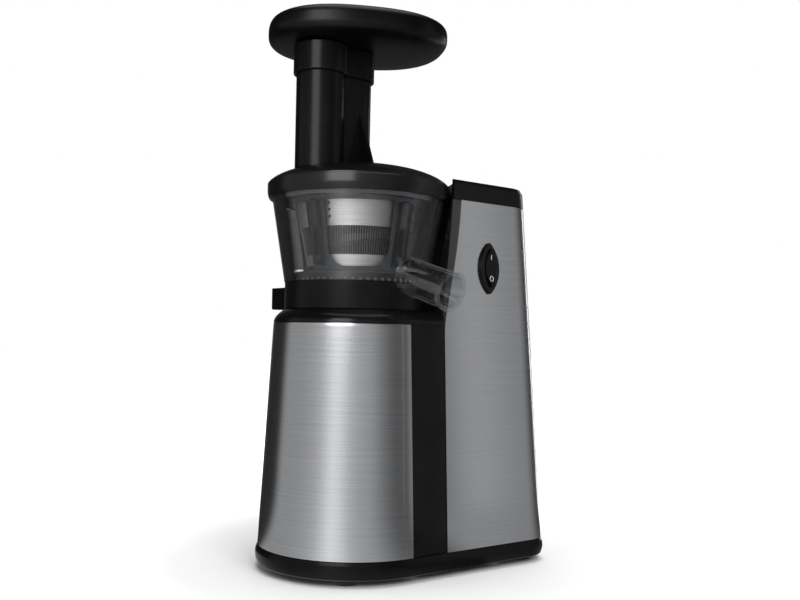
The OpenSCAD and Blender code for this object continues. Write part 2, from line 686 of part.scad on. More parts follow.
// ---- Motor under the gearbox ----
module on_motor() placed() translate([0, motor_y, 0]) children();
module motor_bells() color([0.6, 0.6, 0.6]) on_motor() {
    difference() {
        translate([0, 0, motor_top - bell_t - 4]) cylinder(r = motor_r, h = bell_t + 4);
        translate([0, 0, motor_top - bell_t - 5]) cylinder(r = motor_r - 3, h = 5);
        translate([0, 0, motor_top - bell_t - 5]) cylinder(r = 9 + seat_gap, h = 9);
        translate([0, 0, motor_top - bell_t - 5]) cylinder(r = motor_shaft_r + 0.6, h = 20);
    }
    difference() {
        translate([0, 0, motor_z - bell_t]) cylinder(r = motor_r, h = bell_t + 4);
        translate([0, 0, motor_z]) cylinder(r = motor_r - 3, h = 5);
        translate([0, 0, motor_z - bell_t + 2]) cylinder(r = 9 + seat_gap, h = 9);
        translate([0, 0, motor_z - bell_t - 1]) cylinder(r = motor_shaft_r + 0.6, h = 20);
        for (a = [0:60:300]) rotate([0, 0, a]) translate([20, 0, motor_z - bell_t - 1]) cylinder(r = 5, h = 20);
    }
}
stator_z = motor_z + 4 + seat_gap;
stator_top = motor_top - bell_t - 4 - seat_gap;
module motor_stator() color([0.45, 0.3, 0.2]) on_motor() {
    tube(motor_r, 23, stator_z, stator_top);
    for (p = [[-1, -1], [1, -1], [-1, 1], [1, 1]]) translate([p[0] * 18.8, p[1] * 18.8, stator_top - 0.5])
        cylinder(r = 3, h = 3.2, $fn = small);
}
module motor_bearings() color([0.7, 0.7, 0.72]) on_motor() {
    tube(9, motor_shaft_r + run_gap, motor_top - bell_t - 4.5, motor_top - 3.2);
    tube(9, motor_shaft_r + run_gap, motor_z - bell_t + 2 + seat_gap, motor_z + 3);
}
module motor_rotor() color([0.5, 0.5, 0.52]) on_motor()
    tube(22.4, motor_shaft_r + eps, stator_z + 4, stator_top - 4);
module motor_shaft() color([0.72, 0.72, 0.74]) on_motor() {
    translate([0, 0, tray_z + tray_t + 5]) cylinder(r = motor_shaft_r, h = fast_z - tray_z - tray_t - 5);
    gear(pinion_teeth, fast_module, fast_z - 1, fast_t + 1.5, gap_at_front(pinion_teeth));
}
fan_r = 29;
module motor_fan() color([0.15, 0.15, 0.16]) on_motor() translate([0, 0, tray_z + tray_t + 6]) {
    difference() {
        union() {
            cylinder(r = fan_r, h = 1.6);
            cylinder(r = 8, h = 14);
            for (a = [0:40:320]) rotate([0, 0, a]) translate([7, -0.8, 1]) cube([fan_r - 8, 1.6, 13]);
        }
        translate([0, 0, -1]) cylinder(r = motor_shaft_r + eps, h = 30);
    }
}

// ---- Bowl ----

// The spout's own axis: out along +Z, from the mouth back
spout_mouth_z = deck_z + 12.8;
module at_mouth() rotate([0, 0, spout_turn]) translate([spout_reach, 0, spout_mouth_z])
    rotate([0, 90 + spout_dip, 0]) children();
spout_len = (spout_reach - bowl_in_r(bowl_z + 6) + 1.5) / cos(spout_dip);
spout_root_z = spout_mouth_z + (spout_reach - bowl_low_r) * tan(spout_dip);
spout_root_bore_r = spout_bore_r + 0.7;
spout_bore_len = (spout_reach - bowl_low_r - spout_bore_r * sin(spout_dip)) / cos(spout_dip) - 1;

// The bowl's outside, which the spout's root follows
module bowl_outside(grow) rotate_extrude() polygon([[0, ring_z], [bowl_bottom_r + grow, ring_z],
    [bowl_bottom_r + grow, bowl_z + seat_gap - grow], [bowl_low_r + grow, bowl_z + seat_gap - grow],
    [bowl_top_r + grow, bowl_top - 4], [0, bowl_top - 4]]);

// The wall's opening into the spout, level with the bowl's floor
module spout_hole() difference() {
    rotate([0, 0, spout_turn]) translate([bowl_bottom_r - 10, 0, spout_root_z]) rotate([0, 90, 0])
        cylinder(r = spout_bore_r, h = 30);
    cylinder(r = spout_reach, h = floor_top);
}

function bowl_section() = [[hub_r, floor_z], [bowl_bottom_r, floor_z], [bowl_bottom_r, bowl_z + seat_gap],
    [bowl_low_r, bowl_z + seat_gap], [bowl_top_r, bowl_top - 4], [bowl_top_r + 0.4, bowl_top - 3.6],
    [bowl_top_r + 0.4, bowl_top], [bowl_top_r - bowl_wall, bowl_top], [bowl_low_r - bowl_wall, bowl_z + 1],
    [bowl_low_r - bowl_wall - 1.5, floor_top], [hub_r, floor_top]];

module bowl() color([0.75, 0.78, 0.8, 0.4]) placed() difference() {
    union() {
        rotate_extrude() polygon(bowl_section());
        difference() {
            tube(seat_ring_r + 2, seat_ring_r, floor_top - 1, strainer_z - 0.2);
            translate([0, idler_at, floor_top]) cylinder(r = idler_r + 1.5 * brush_module + 0.8, h = 20);
        }
        translate([0, idler_at, floor_top - 1]) cylinder(r = 3, h = brush_gear_t + 1.5, $fn = small);
    }
    spout_hole();
    pulp_pipe_outside(seat_gap);
}

// Pipe that takes the pulp down through the floor; its foot is pushed up into a step of the floor
pipe_wall = 2;
pipe_top = brush_gear_z + brush_gear_t - 0.2;
foot_t = 1.2;
foot_w = 1.2;
module pulp_pipe_outside(grow) translate([-pulp_at, 0, 0]) {
    translate([0, 0, floor_z]) cylinder(r = pulp_bore + pipe_wall + grow, h = pipe_top - floor_z + grow);
    translate([0, 0, floor_z - grow]) cylinder(r = pulp_bore + pipe_wall + foot_w + grow, h = foot_t + 2 * grow);
}
module pulp_pipe() color([0.75, 0.78, 0.8, 0.4]) placed() difference() {
    pulp_pipe_outside(0);
    translate([-pulp_at, 0, floor_z - 1]) cylinder(r = pulp_bore, h = 30);
}

// Round spout with a bead at its mouth; its root is a little wider and shut under the floor's level
module juice_spout() color([0.75, 0.78, 0.8, 0.4]) placed() difference() {
    at_mouth() {
        translate([0, 0, -spout_len]) cylinder(r = spout_r, h = spout_len);
        translate([0, 0, -2 * bead]) cylinder(r = spout_r + bead, h = 2 * bead);
    }
    at_mouth() translate([0, 0, -spout_bore_len - 0.5]) cylinder(r = spout_bore_r, h = spout_bore_len + 10);
    difference() {
        at_mouth() translate([0, 0, -spout_len - 10]) cylinder(r = spout_root_bore_r, h = spout_len + 10 - spout_bore_len);
        cylinder(r = bowl_low_r, h = floor_top);
    }
    bowl_outside(seat_gap);
}

// Black ring under the clear bowl, with a hub and ribs round the drive shaft
rib_angles = [0, 60, 120, 240, 300];
module bowl_ring() color([0.07, 0.07, 0.075]) placed() difference() {
    union() {
        tube(ring_r, bowl_bottom_r + seat_gap, ring_z, bowl_z);
        tube(hub_r + 3, hub_r, ring_z + 1.5, floor_z - seat_gap);
        for (a = rib_angles) rotate([0, 0, a]) translate([hub_r + 2, -1, ring_z + 3])
            cube([bowl_bottom_r - hub_r - 1, 2, floor_z - ring_z - 3 - seat_gap]);
    }
    at_mouth() translate([0, 0, -spout_len - 4]) cylinder(r = spout_r + 0.2, h = spout_len + 10);
    translate([-pulp_reach, -pulp_w / 2 - pulp_wall - seat_gap, pulp_z - seat_gap])
        cube([pulp_reach - 40, pulp_w + 2 * (pulp_wall + seat_gap), pulp_h + 2 * seat_gap]);
}

module bowl_seal() color([0.2, 0.2, 0.2]) placed() {
    tube(hub_r - seat_gap, shaft_r + run_gap, floor_z - 4, floor_top + 0.2);
}

// Channel under the floor that takes the pulp out to the side
pulp_wall = 2;
pulp_h = floor_z - seat_gap - ring_z - 1.5;
pulp_z = ring_z + 1.5;
pulp_inner_end = pulp_at - pulp_bore - 2.5;
hood_end = ring_r + 1.4;
hood_top = bowl_z - lift_gap;
module pulp_channel() color([0.12, 0.12, 0.125]) placed() difference() {
    union() {
        translate([-pulp_reach, -pulp_w / 2 - pulp_wall, pulp_z])
            cube([pulp_reach - pulp_inner_end, pulp_w + 2 * pulp_wall, pulp_h]);
        translate([-pulp_reach, -pulp_w / 2 - pulp_wall, pulp_z])
            cube([pulp_reach - hood_end, pulp_w + 2 * pulp_wall, hood_top - pulp_z]);
    }
    translate([-pulp_reach - 1, -pulp_w / 2, pulp_z + pulp_wall])
        cube([pulp_reach - pulp_inner_end - pulp_wall + 1, pulp_w, pulp_h - 2 * pulp_wall]);
    translate([-pulp_reach - 1, -pulp_w / 2, pulp_z + pulp_wall])
        cube([pulp_reach - hood_end - pulp_wall + 1, pulp_w, hood_top - pulp_z - 2 * pulp_wall]);
    translate([-pulp_at, 0, pulp_z + pulp_wall]) cylinder(r = pulp_bore, h = 40);
    for (side = [-1, 1]) translate([-pulp_reach, side * (pulp_w / 2 + pulp_wall), pulp_z])
        rotate([0, 0, 45]) cube([3, 3, 100], center = true);
    translate([-pulp_reach, 0, pulp_z]) rotate([0, 45, 0]) cube([5, 2 * pulp_w, 5], center = true);
}

module brush_idler() color([0.85, 0.85, 0.82]) placed() translate([0, idler_at, 0]) difference() {
    gear(idler_teeth, brush_module, brush_gear_z, brush_gear_t - 0.8, gap_at_front(idler_teeth));
    translate([0, 0, brush_gear_z - 1]) cylinder(r = 3 + run_gap, h = brush_gear_t + 2);
}

// ---- Strainer ----
band_h = 17;
module strainer_sheet() color([0.72, 0.72, 0.73]) placed() difference() {
    z0 = strainer_z + strainer_floor_t;
    z1 = strainer_top - 2.5;
    rotate_extrude() polygon([[strainer_r(z0) - strainer_t, z0], [strainer_r(z0), z0],
                              [strainer_r(z1), z1], [strainer_r(z1) - strainer_t, z1]]);
    for (i = [0:slot_count - 1]) rotate([0, 0, i * 360 / slot_count])
        translate([strainer_low_r - 5, -slot_w / 2, z0 + band_h]) cube([30, slot_w, z1 - z0 - 2 * band_h]);
}

module strainer_frame() color([0.12, 0.12, 0.13]) placed() {
    floor_end = strainer_z + strainer_floor_t - seat_gap;
    rib_top = strainer_top - 2;
    difference() {
        translate([0, 0, strainer_z]) cylinder(r = strainer_low_r, h = strainer_floor_t - seat_gap);
        translate([0, 0, strainer_z - 1]) cylinder(r = neck_r + 0.4, h = 10);
        translate([-pulp_at, 0, strainer_z - 1]) cylinder(r = pulp_bore - 1, h = 10);
    }
    tube(strainer_r(rib_top) + rib_t, strainer_r(rib_top) - strainer_t - seat_gap, rib_top - 0.4, strainer_top);
    for (i = [0:5]) rotate([0, 0, i * 60 + 20]) rotate([90, 0, 0]) linear_extrude(2.4, center = true)
        polygon([[strainer_low_r - 2, strainer_z], [strainer_low_r + rib_t, strainer_z],
                 [strainer_r(rib_top) + rib_t, rib_top], [strainer_r(rib_top) + seat_gap, rib_top],
                 [strainer_r(floor_end) + seat_gap, floor_end], [strainer_low_r - 2, floor_end]]);
}

// ---- Brush: toothed ring below, windowed cone above, soft wipers in its bars ----
brush_top = strainer_top - 1;
brush_ring_top = brush_gear_z + brush_gear_t;
module brush_ring() color([0.12, 0.12, 0.13]) placed() difference() {
    tube(brush_out_r, brush_gear_r - 3, brush_gear_z - 0.6, brush_ring_top);
    translate([0, 0, brush_gear_z - 1]) linear_extrude(brush_gear_t + 2)
        polygon(gear_points(ring_teeth, brush_module, root_share, tip_share, -tooth_play, 90 + 180 / ring_teeth));
}

window_z0 = brush_ring_top + 5;
window_z1 = brush_top - 5;
bar_angle = 9;
module brush_frame() color([0.5, 0.52, 0.55, 0.5]) placed() difference() {
    z1 = brush_ring_top + seat_gap;
    rotate_extrude() polygon([[brush_out_r, z1], [brush_out_r, z1 + 1], [brush_r(z1 + 2.4) + brush_wall, z1 + 2.4],
        [brush_r(brush_top) + brush_wall, brush_top], [brush_r(brush_top), brush_top], [brush_r(z1), z1]]);
    for (i = [0:window_count - 1]) rotate([0, 0, window_phase + i * 360 / window_count]) window_cut();
    for (i = [0:window_count - 1]) rotate([0, 0, window_phase + (i + 0.5) * 360 / window_count])
        translate([strainer_low_r, -wiper_t / 2 - 0.05, window_z0])
            cube([brush_gear_r, wiper_t + 0.1, window_z1 - window_z0]);
}

// One window: leaning sides and a rounded bottom, cut straight out through the cone
module window_cut() {
    span = sin(180 / window_count - bar_angle / 2);
    low = brush_r(window_z0) * span;
    high = brush_r(window_z1) * span;
    slope = (high - low) / (window_z1 - window_z0);
    r = low * 0.6;
    centre = low + slope * r - r * sqrt(1 + slope * slope);
    side = concat([for (a = [-90:10:-10]) [centre + r * cos(a), window_z0 + r + r * sin(a)]],
                  [[centre + r * cos(atan(slope)), window_z0 + r - r * sin(atan(slope))], [high, window_z1]]);
    rotate([90, 0, 90]) translate([0, 0, 12]) linear_extrude(60) polygon(concat(side, mirrored(side)));
}

wiper_t = 1.6;
module brush_wipers() color([0.3, 0.3, 0.32]) placed()
    for (i = [0:window_count - 1]) rotate([0, 0, window_phase + (i + 0.5) * 360 / window_count])
        rotate([90, 0, 0]) linear_extrude(wiper_t, center = true) polygon([
            [strainer_r(window_z0) + rib_t + 0.3, window_z0 + 0.3], [bowl_in_r(window_z0) - 0.8, window_z0 + 0.3],
            [bowl_in_r(window_z1) - 0.8, window_z1 - 0.3], [strainer_r(window_z1) + rib_t + 0.3, window_z1 - 0.3]]);

// ---- Screw: tapering core, flights that widen with the strainer, hexagonal socket ----
neck_r = 11;
flight_t = 5;
module screw() color([0.1, 0.1, 0.105]) placed() difference() {
    low = strainer_r(screw_z) - strainer_t - screw_gap;
    high = strainer_r(screw_top) - strainer_t - screw_gap;
    union() {
        translate([0, 0, brush_gear_z + brush_gear_t - 0.6]) cylinder(r = neck_r, h = screw_z - brush_gear_z - brush_gear_t + 1);
        translate([0, 0, screw_z]) cylinder(r1 = core_low_r, r2 = core_top_r, h = screw_top - screw_z);
        translate([0, 0, screw_top - eps]) cylinder(r1 = core_top_r, r2 = 8, h = 4);
        for (i = [0:flight_count - 1]) rotate([0, 0, i * 360 / flight_count + 40])
            translate([0, 0, screw_z]) linear_extrude(screw_top - screw_z - 1, twist = -360 * flight_turns,
                scale = high / low, slices = 48, $fn = 12) flight_plan(low);
    }
    translate([0, 0, brush_gear_z - 5]) cylinder(r = (hex_af + 0.3) / sqrt(3), h = hex_top + 2 - brush_gear_z + 5, $fn = 6);
    translate([0, 0, pin_z - seat_gap]) cylinder(r = pin_r + seat_gap, h = screw_top);
}

// Steel pin that turns in the lid's bush
pin_z = screw_top - 8;
module screw_pin() color([0.7, 0.7, 0.72]) placed() translate([0, 0, pin_z]) {
    cylinder(r = pin_r, h = pin_top - pin_z - 1);
    translate([0, 0, pin_top - pin_z - 1]) cylinder(r1 = pin_r, r2 = pin_r - 1, h = 1);
}

// Plan of one flight: a sickle that starts inside the core and ends at the rim
module flight_plan(r) polygon(concat(
    [for (a = [0:6:60]) r * [cos(a), sin(a)]],
    [for (a = [70, 60, 45, 30, 15, 0]) let (q = core_low_r * 0.5 + (r - core_low_r * 0.5 - 6) * (70 - a) / 95)
        q * [cos(a + 8), sin(a + 8)]]));

module screw_gear() color([0.12, 0.12, 0.125]) placed() difference() {
    gear(sun_teeth, brush_module, brush_gear_z, brush_gear_t - 0.8, 90);
    translate([0, 0, brush_gear_z - 1]) cylinder(r = (hex_af + 0.3) / sqrt(3), h = 20, $fn = 6);
}

// ---- Lid ----
lid_wall = 2.8;
plug_r = bowl_in_r(lid_z) - 1.3;
function crown_points(drop) = curve([lid_r - 1.4 - drop, lid_rim_top + 7 - drop], [lid_r - 6 - drop, lid_rim_top + 12 - drop],
    [48, crown_top - drop], [0, crown_top - drop], 8);
function lid_section() = concat([[bowl_top_r + 0.4 + lift_gap, lid_z + 0.4], [lid_r - 1.8, lid_z],
    [lid_r - 0.2, lid_z + 4], [lid_r, lid_z + 6], [lid_r, lid_rim_top], [lid_r - 1.2, lid_rim_top + 0.8]],
    crown_points(0), crown_inside());
function crown_inside() = let (c = crown_points(lid_wall))
    concat([for (i = [len(c) - 1:-1:0]) c[i]], [[bowl_top_r + 0.4 + lift_gap, bowl_top + 1]]);

// Plan of the feed tube and its brace column, grown by some clearance or wall
module feed_outline(grow, z0, z1) {
    translate([0, -feed_offset, z0]) cylinder(r = feed_r + grow, h = z1 - z0);
    translate([0, -brace_at, z0]) cylinder(r = brace_r + grow, h = z1 - z0);
    translate([-brace_r - grow + eps, -feed_offset, z0])
        cube([2 * (brace_r + grow - eps), feed_offset - brace_at, z1 - z0]);
}

module feed_hole() translate([0, -feed_offset, lid_z - 10]) cylinder(r = feed_bore, h = feed_top);
module lid() color([0.09, 0.09, 0.095]) placed() difference() {
    union() {
        rotate_extrude() polygon(lid_section());
        tube(plug_r, plug_r - 2, lid_z - 3, lid_rim_top + 8);
        translate([0, 0, lid_rim_top - 8]) cylinder(r = 9.5, h = crown_top - lid_rim_top + 6);
    }
    feed_hole();
    translate([0, 0, lid_rim_top - 9]) cylinder(r = pin_r + 2 + seat_gap, h = 12);
}

// Liner under the lid that leads the food into the strainer
module lid_funnel() color([0.09, 0.09, 0.095]) placed() difference() {
    rotate_extrude() polygon([[funnel_r + 6, lid_rim_top + 11], [funnel_r, strainer_top + 0.5],
        [funnel_r + 2, strainer_top + 0.5], [funnel_r + 8, lid_rim_top + 11]]);
    rotate_extrude() polygon(concat(crown_points(lid_wall + seat_gap), [[0, crown_top + 5], [lid_r, crown_top + 5]]));
    feed_hole();
}

// Feed tube with its brace column and gusset, standing on the crown
gusset_reach = 30;
module feed_tube() color([0.09, 0.09, 0.095]) placed() difference() {
    union() {
        feed_outline(0, crown_top - 6, feed_top);
        translate([0, -brace_at - 3, crown_top]) rotate([90, 0, 0]) linear_extrude(2.4, center = true)
            polygon([[0, -4], [gusset_reach, -4], [gusset_reach, 0], [brace_r - 1, 42], [0, 42]]);
    }
    rotate_extrude() polygon(concat(crown_points(-seat_gap), [[0, lid_z], [lid_r, lid_z]]));
    feed_hole();
    translate([0, -brace_at, crown_top + 6]) cylinder(r = brace_r - feed_wall, h = feed_top);
}

module lid_bush() color([0.85, 0.85, 0.82]) placed()
    tube(pin_r + 2, pin_r + run_gap, lid_rim_top - 8, lid_rim_top + 2.8);

module lid_seal() color([0.4, 0.4, 0.42]) placed()
    tube(bowl_in_r(lid_z - 2) - lift_gap, plug_r + seat_gap / 2, lid_z - 2, lid_z + 2);

// ---- Pusher ----
stem_z = crown_top + 8;
module pusher_stem() color([0.08, 0.08, 0.085]) placed() translate([0, -feed_offset, 0]) difference() {
    translate([0, 0, stem_z]) cylinder(r = stem_r, h = collar_top - 4 - seat_gap - stem_z);
    translate([0, 0, stem_z + 3]) cylinder(r = stem_r - 2.4, h = collar_top);
}

module pusher_collar() color([0.07, 0.07, 0.075]) placed() difference() {
    feed_outline(lift_gap + collar_wall, collar_z, collar_top);
    feed_outline(lift_gap, collar_z - 1, collar_top - 4);
}

// A flattened egg-shaped grip: stacked ovals that follow a full, rounded side
module pusher_knob() color([0.06, 0.06, 0.065]) placed() translate([0, 0, collar_top + seat_gap + knob_h / 2]) hull()
    for (i = [-6:6]) {
        lift = sin(i * 15);
        plan = pow(1 - pow(abs(lift), 2.3), 1 / 2.3);
        translate([0, 0, lift * (knob_h / 2 - eps) * 0.998]) linear_extrude(eps)
            scale([knob_w / knob_l, 1]) circle(max(knob_reach * plan, 0.35 * knob_reach), $fn = 64);
    }

base_tray();
rubber_feet();
tray_screws();
front_housing();
tower_housing();
tower_cap();
nose_sleeve();
steel_wrap();
cord_gland();
switch_bezel();
switch_rocker();
switch_body();
control_board();
board_parts();
deck_seal();
gearbox_case();
gearbox_cover();
gearbox_screws();
shaft_bushes();
drive_shaft();
output_gear();
idle_axle();
cluster_gear();
motor_bells();
motor_stator();
motor_bearings();
motor_rotor();
motor_shaft();
motor_fan();
bowl();
juice_spout();
pulp_pipe();
bowl_ring();
bowl_seal();
pulp_channel();
brush_idler();
strainer_frame();
strainer_sheet();
brush_ring();
brush_frame();
brush_wipers();
screw();
screw_pin();
screw_gear();
lid();
lid_funnel();
feed_tube();
lid_bush();
lid_seal();
pusher_stem();
pusher_collar();
pusher_knob();
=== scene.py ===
import json
import math

import bmesh
import bpy
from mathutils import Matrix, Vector


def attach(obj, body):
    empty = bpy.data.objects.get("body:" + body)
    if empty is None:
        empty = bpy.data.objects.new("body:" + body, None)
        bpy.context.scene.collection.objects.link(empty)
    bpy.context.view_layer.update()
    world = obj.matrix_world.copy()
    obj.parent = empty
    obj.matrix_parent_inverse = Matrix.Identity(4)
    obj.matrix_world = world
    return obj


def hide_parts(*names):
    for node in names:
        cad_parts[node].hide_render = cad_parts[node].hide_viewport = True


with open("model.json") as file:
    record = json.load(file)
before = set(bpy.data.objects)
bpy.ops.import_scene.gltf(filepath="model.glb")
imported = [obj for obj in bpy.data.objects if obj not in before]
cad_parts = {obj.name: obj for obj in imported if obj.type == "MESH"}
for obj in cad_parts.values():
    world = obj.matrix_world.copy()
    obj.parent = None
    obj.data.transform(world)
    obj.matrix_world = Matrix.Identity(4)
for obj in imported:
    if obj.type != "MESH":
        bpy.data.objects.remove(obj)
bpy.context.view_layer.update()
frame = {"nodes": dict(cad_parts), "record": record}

parts = frame["nodes"]

# ---- Base tray ----
# The black tray that everything stands on, moulded in one with its bulging rim and the air slots
# under the motor. Its satin skin has the fine grain of a spark-eroded mould.


def moulded(name, colour, gloss, grain=0.5, drift=0.25, **sockets):
    """Moulded plastic or rubber: its tone drifts a little and a fine grain breaks up the shine."""
    paint = bpy.data.materials.new(name)
    paint.use_nodes = True
    nodes, wire = paint.node_tree.nodes, paint.node_tree.links.new
    skin = nodes["Principled BSDF"]
    where = nodes.new("ShaderNodeTexCoord")
    clouds = nodes.new("ShaderNodeTexNoise")
    clouds.inputs["Scale"].default_value = 40
    clouds.inputs["Detail"].default_value = 4
    tone = nodes.new("ShaderNodeValToRGB")
    low, high = tone.color_ramp.elements
    low.position, high.position = 0.3, 0.7
    low.color = [c * (1 - drift) for c in colour] + [1]
    high.color = [c * (1 + drift) for c in colour] + [1]
    pits = nodes.new("ShaderNodeTexNoise")
    pits.inputs["Scale"].default_value = 2600
    pits.inputs["Detail"].default_value = 3
    rub = nodes.new("ShaderNodeMapRange")
    rub.inputs["To Min"].default_value = gloss * 0.85
    rub.inputs["To Max"].default_value = min(gloss * 1.2, 1)
    relief = nodes.new("ShaderNodeBump")
    relief.inputs["Strength"].default_value = grain
    relief.inputs["Distance"].default_value = 0.00002
    wire(where.outputs["Object"], clouds.inputs["Vector"])
    wire(where.outputs["Object"], pits.inputs["Vector"])
    wire(clouds.outputs["Fac"], tone.inputs["Fac"])
    wire(clouds.outputs["Fac"], rub.inputs["Value"])
    wire(tone.outputs["Color"], skin.inputs["Base Color"])
    wire(rub.outputs["Result"], skin.inputs["Roughness"])
    wire(pits.outputs["Fac"], relief.inputs["Height"])
    wire(relief.outputs["Normal"], skin.inputs["Normal"])
    for socket, value in sockets.items():
        skin.inputs[socket.replace("_", " ")].default_value = value
    return paint


def give(node, paint):
    """Gives a CAD node its finish."""
    parts[node].data.materials.clear()
    parts[node].data.materials.append(paint)


tray_plastic = moulded("Tray plastic", (0.003, 0.003, 0.0032), 0.22, grain=0.2, Specular_IOR_Level=0.12)
give("base_tray", tray_plastic)

# ---- Feet and tray screws ----
# Four soft rubber feet, a little wider where they meet the table, and four plated screws that go up
# through the tray's posts into the housings.
foot_rubber = moulded("Foot rubber", (0.012, 0.012, 0.012), 0.8, grain=0.8)
give("rubber_feet", foot_rubber)


def metal(name, colour, gloss, run=(300, 300, 300), depth=0.00001, drift=0.12):
    """Worked metal: fine marks, long where their number per metre is low and close where it is high."""
    paint = bpy.data.materials.new(name)
    paint.use_nodes = True
    nodes, wire = paint.node_tree.nodes, paint.node_tree.links.new
    skin = nodes["Principled BSDF"]
    skin.inputs["Metallic"].default_value = 1
    where = nodes.new("ShaderNodeTexCoord")
    along = nodes.new("ShaderNodeMapping")
    along.inputs["Scale"].default_value = run
    marks = nodes.new("ShaderNodeTexNoise")
    marks.inputs["Scale"].default_value = 1
    marks.inputs["Detail"].default_value = 5
    marks.inputs["Roughness"].default_value = 0.65
    tone = nodes.new("ShaderNodeValToRGB")
    low, high = tone.color_ramp.elements
    low.position, high.position = 0.3, 0.7
    low.color = [c * (1 - drift) for c in colour] + [1]
    high.color = [min(c * (1 + drift), 1) for c in colour] + [1]
    rub = nodes.new("ShaderNodeMapRange")
    rub.inputs["To Min"].default_value = gloss * 0.8
    rub.inputs["To Max"].default_value = gloss * 1.25
    relief = nodes.new("ShaderNodeBump")
    relief.inputs["Strength"].default_value = 0.5
    relief.inputs["Distance"].default_value = depth
    wire(where.outputs["Object"], along.inputs["Vector"])
    wire(along.outputs["Vector"], marks.inputs["Vector"])
    wire(marks.outputs["Fac"], tone.inputs["Fac"])
    wire(marks.outputs["Fac"], rub.inputs["Value"])
    wire(tone.outputs["Color"], skin.inputs["Base Color"])
    wire(rub.outputs["Result"], skin.inputs["Roughness"])
    wire(marks.outputs["Fac"], relief.inputs["Height"])
    wire(relief.outputs["Normal"], skin.inputs["Normal"])
    return paint


plated_steel = metal("Plated steel", (0.6, 0.6, 0.6), 0.3)
give("tray_screws", plated_steel)

# ---- Motor ----
# A plain induction motor stands over the tray: cast end bells, laminated stator with varnished
# windings, a rotor on ball bearings, and a cooling fan of black nylon under it.
cast_alloy = metal("Cast alloy", (0.5, 0.51, 0.53), 0.5, run=(900, 900, 900), depth=0.00003)
give("motor_bells", cast_alloy)
give("motor_stator", metal("Varnished windings", (0.42, 0.2, 0.1), 0.45, run=(200, 200, 2400), depth=0.00004))
ground_steel = metal("Ground steel", (0.66, 0.66, 0.68), 0.22, run=(900, 900, 60))
give("motor_bearings", ground_steel)
give("motor_rotor", metal("Rotor iron", (0.3, 0.3, 0.31), 0.45, run=(200, 200, 2600)))
give("motor_shaft", ground_steel)
inner_nylon = moulded("Inner black nylon", (0.03, 0.03, 0.033), 0.5)
give("motor_fan", inner_nylon)

# ---- Gearbox ----
# Two die-cast halves screwed together hold a cluster gear and the output gear of milky nylon.
# The drive shaft turns in brass bushes and comes up through a lip seal in the deck.
give("gearbox_case", cast_alloy)
give("gearbox_cover", cast_alloy)
give("gearbox_screws", plated_steel)
give("shaft_bushes", metal("Turned brass", (0.68, 0.5, 0.22), 0.25, run=(200, 200, 1500)))
give("drive_shaft", ground_steel)
give("idle_axle", ground_steel)
milky_nylon = moulded("Milky nylon", (0.72, 0.7, 0.63), 0.42, drift=0.05, Subsurface_Weight=0.1)
give("output_gear", milky_nylon)
give("cluster_gear", milky_nylon)
seal_rubber = moulded("Seal rubber", (0.16, 0.16, 0.17), 0.6)
give("deck_seal", seal_rubber)

# ---- Front housing ----
# The black housing under the bowl: a gloss shoulder and deck that show, and flanks that carry the
# steel. It is moulded in one; its edges have the small radius of the mould.
mm = 0.001
drive = next(joint for joint in frame["record"]["behaviour"]["joints"] if joint["name"] == "drive_spin")
axis_x, axis_y = drive["pos_m"][:2]


def only(piece):
    """Makes a piece the one that is selected and active."""
    bpy.ops.object.select_all(action="DESELECT")
    piece.select_set(True)
    bpy.context.view_layer.objects.active = piece


def rounded(piece, radius, corner=30, rounds=3):
    """Rounds every edge that is sharper than the corner angle."""
    only(piece)
    edge = piece.modifiers.new("Rounded edges", "BEVEL")
    edge.width, edge.segments = radius * mm, rounds
    edge.limit_method, edge.angle_limit = "ANGLE", math.radians(corner)
    edge.miter_outer = "MITER_ARC"
    bpy.ops.object.modifier_apply(modifier=edge.name)


def finished(piece, paint, body, slot, *nodes, corner=32):
    """Shades a piece, gives it its finish and puts it in the place of its CAD nodes."""
    only(piece)
    bpy.ops.object.shade_smooth_by_angle(angle=math.radians(corner))
    even = piece.modifiers.new("Even shading", "WEIGHTED_NORMAL")
    even.keep_sharp = True
    bpy.ops.object.modifier_apply(modifier=even.name)
    piece.data.materials.clear()
    piece.data.materials.append(paint)
    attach(piece, body)
    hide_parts(*nodes)


def recut(node, name):
    """A copy of a CAD node with its triangles merged, ready for rounded edges."""
    piece = bpy.data.objects.new(name, parts[node].data.copy())
    bpy.context.scene.collection.objects.link(piece)
    only(piece)
    bpy.ops.object.mode_set(mode="EDIT")
    bpy.ops.mesh.select_all(action="SELECT")
    bpy.ops.mesh.customdata_custom_splitnormals_clear()
    bpy.ops.mesh.remove_doubles(threshold=0.004 * mm)
    bpy.ops.mesh.dissolve_limited(angle_limit=math.radians(0.6))
    bpy.ops.object.mode_set(mode="OBJECT")
    return piece


gloss_black = moulded("Gloss black plastic", (0.004, 0.004, 0.0043), 0.2, grain=0.12, Specular_IOR_Level=0.18)
front = recut("front_housing", "Front_housing")
rounded(front, 0.5)
finished(front, gloss_black, "base", "body_black", "front_housing")

# ---- Nose sleeve ----
# A strip of brushed stainless sheet rolled round the nose, with its top edge folded in. The
# brushing runs level round the body. A short tail at each end leans out to the flank's steel.


def place(x, y, z):
    """A place in millimetres from the drive axis and the table, in the frame's metres."""
    return Vector((x * mm + axis_x, y * mm + axis_y, z * mm))


def drawn(name, section):
    """Draws a line from each (out, up) to the next by pulling one corner along, and stays in edit mode."""
    points = [place(out, 0, up) for out, up in section]
    bpy.ops.object.select_all(action="DESELECT")
    bpy.ops.mesh.primitive_plane_add(size=mm, location=points[0])
    piece = bpy.context.object
    piece.name = piece.data.name = name
    bpy.ops.object.transform_apply(location=True)
    bpy.ops.object.mode_set(mode="EDIT")
    bpy.ops.mesh.merge(type="CENTER")
    for here, there in zip(points, points[1:]):
        bpy.ops.mesh.extrude_region_move(TRANSFORM_OT_translate={"value": there - here})
    return piece


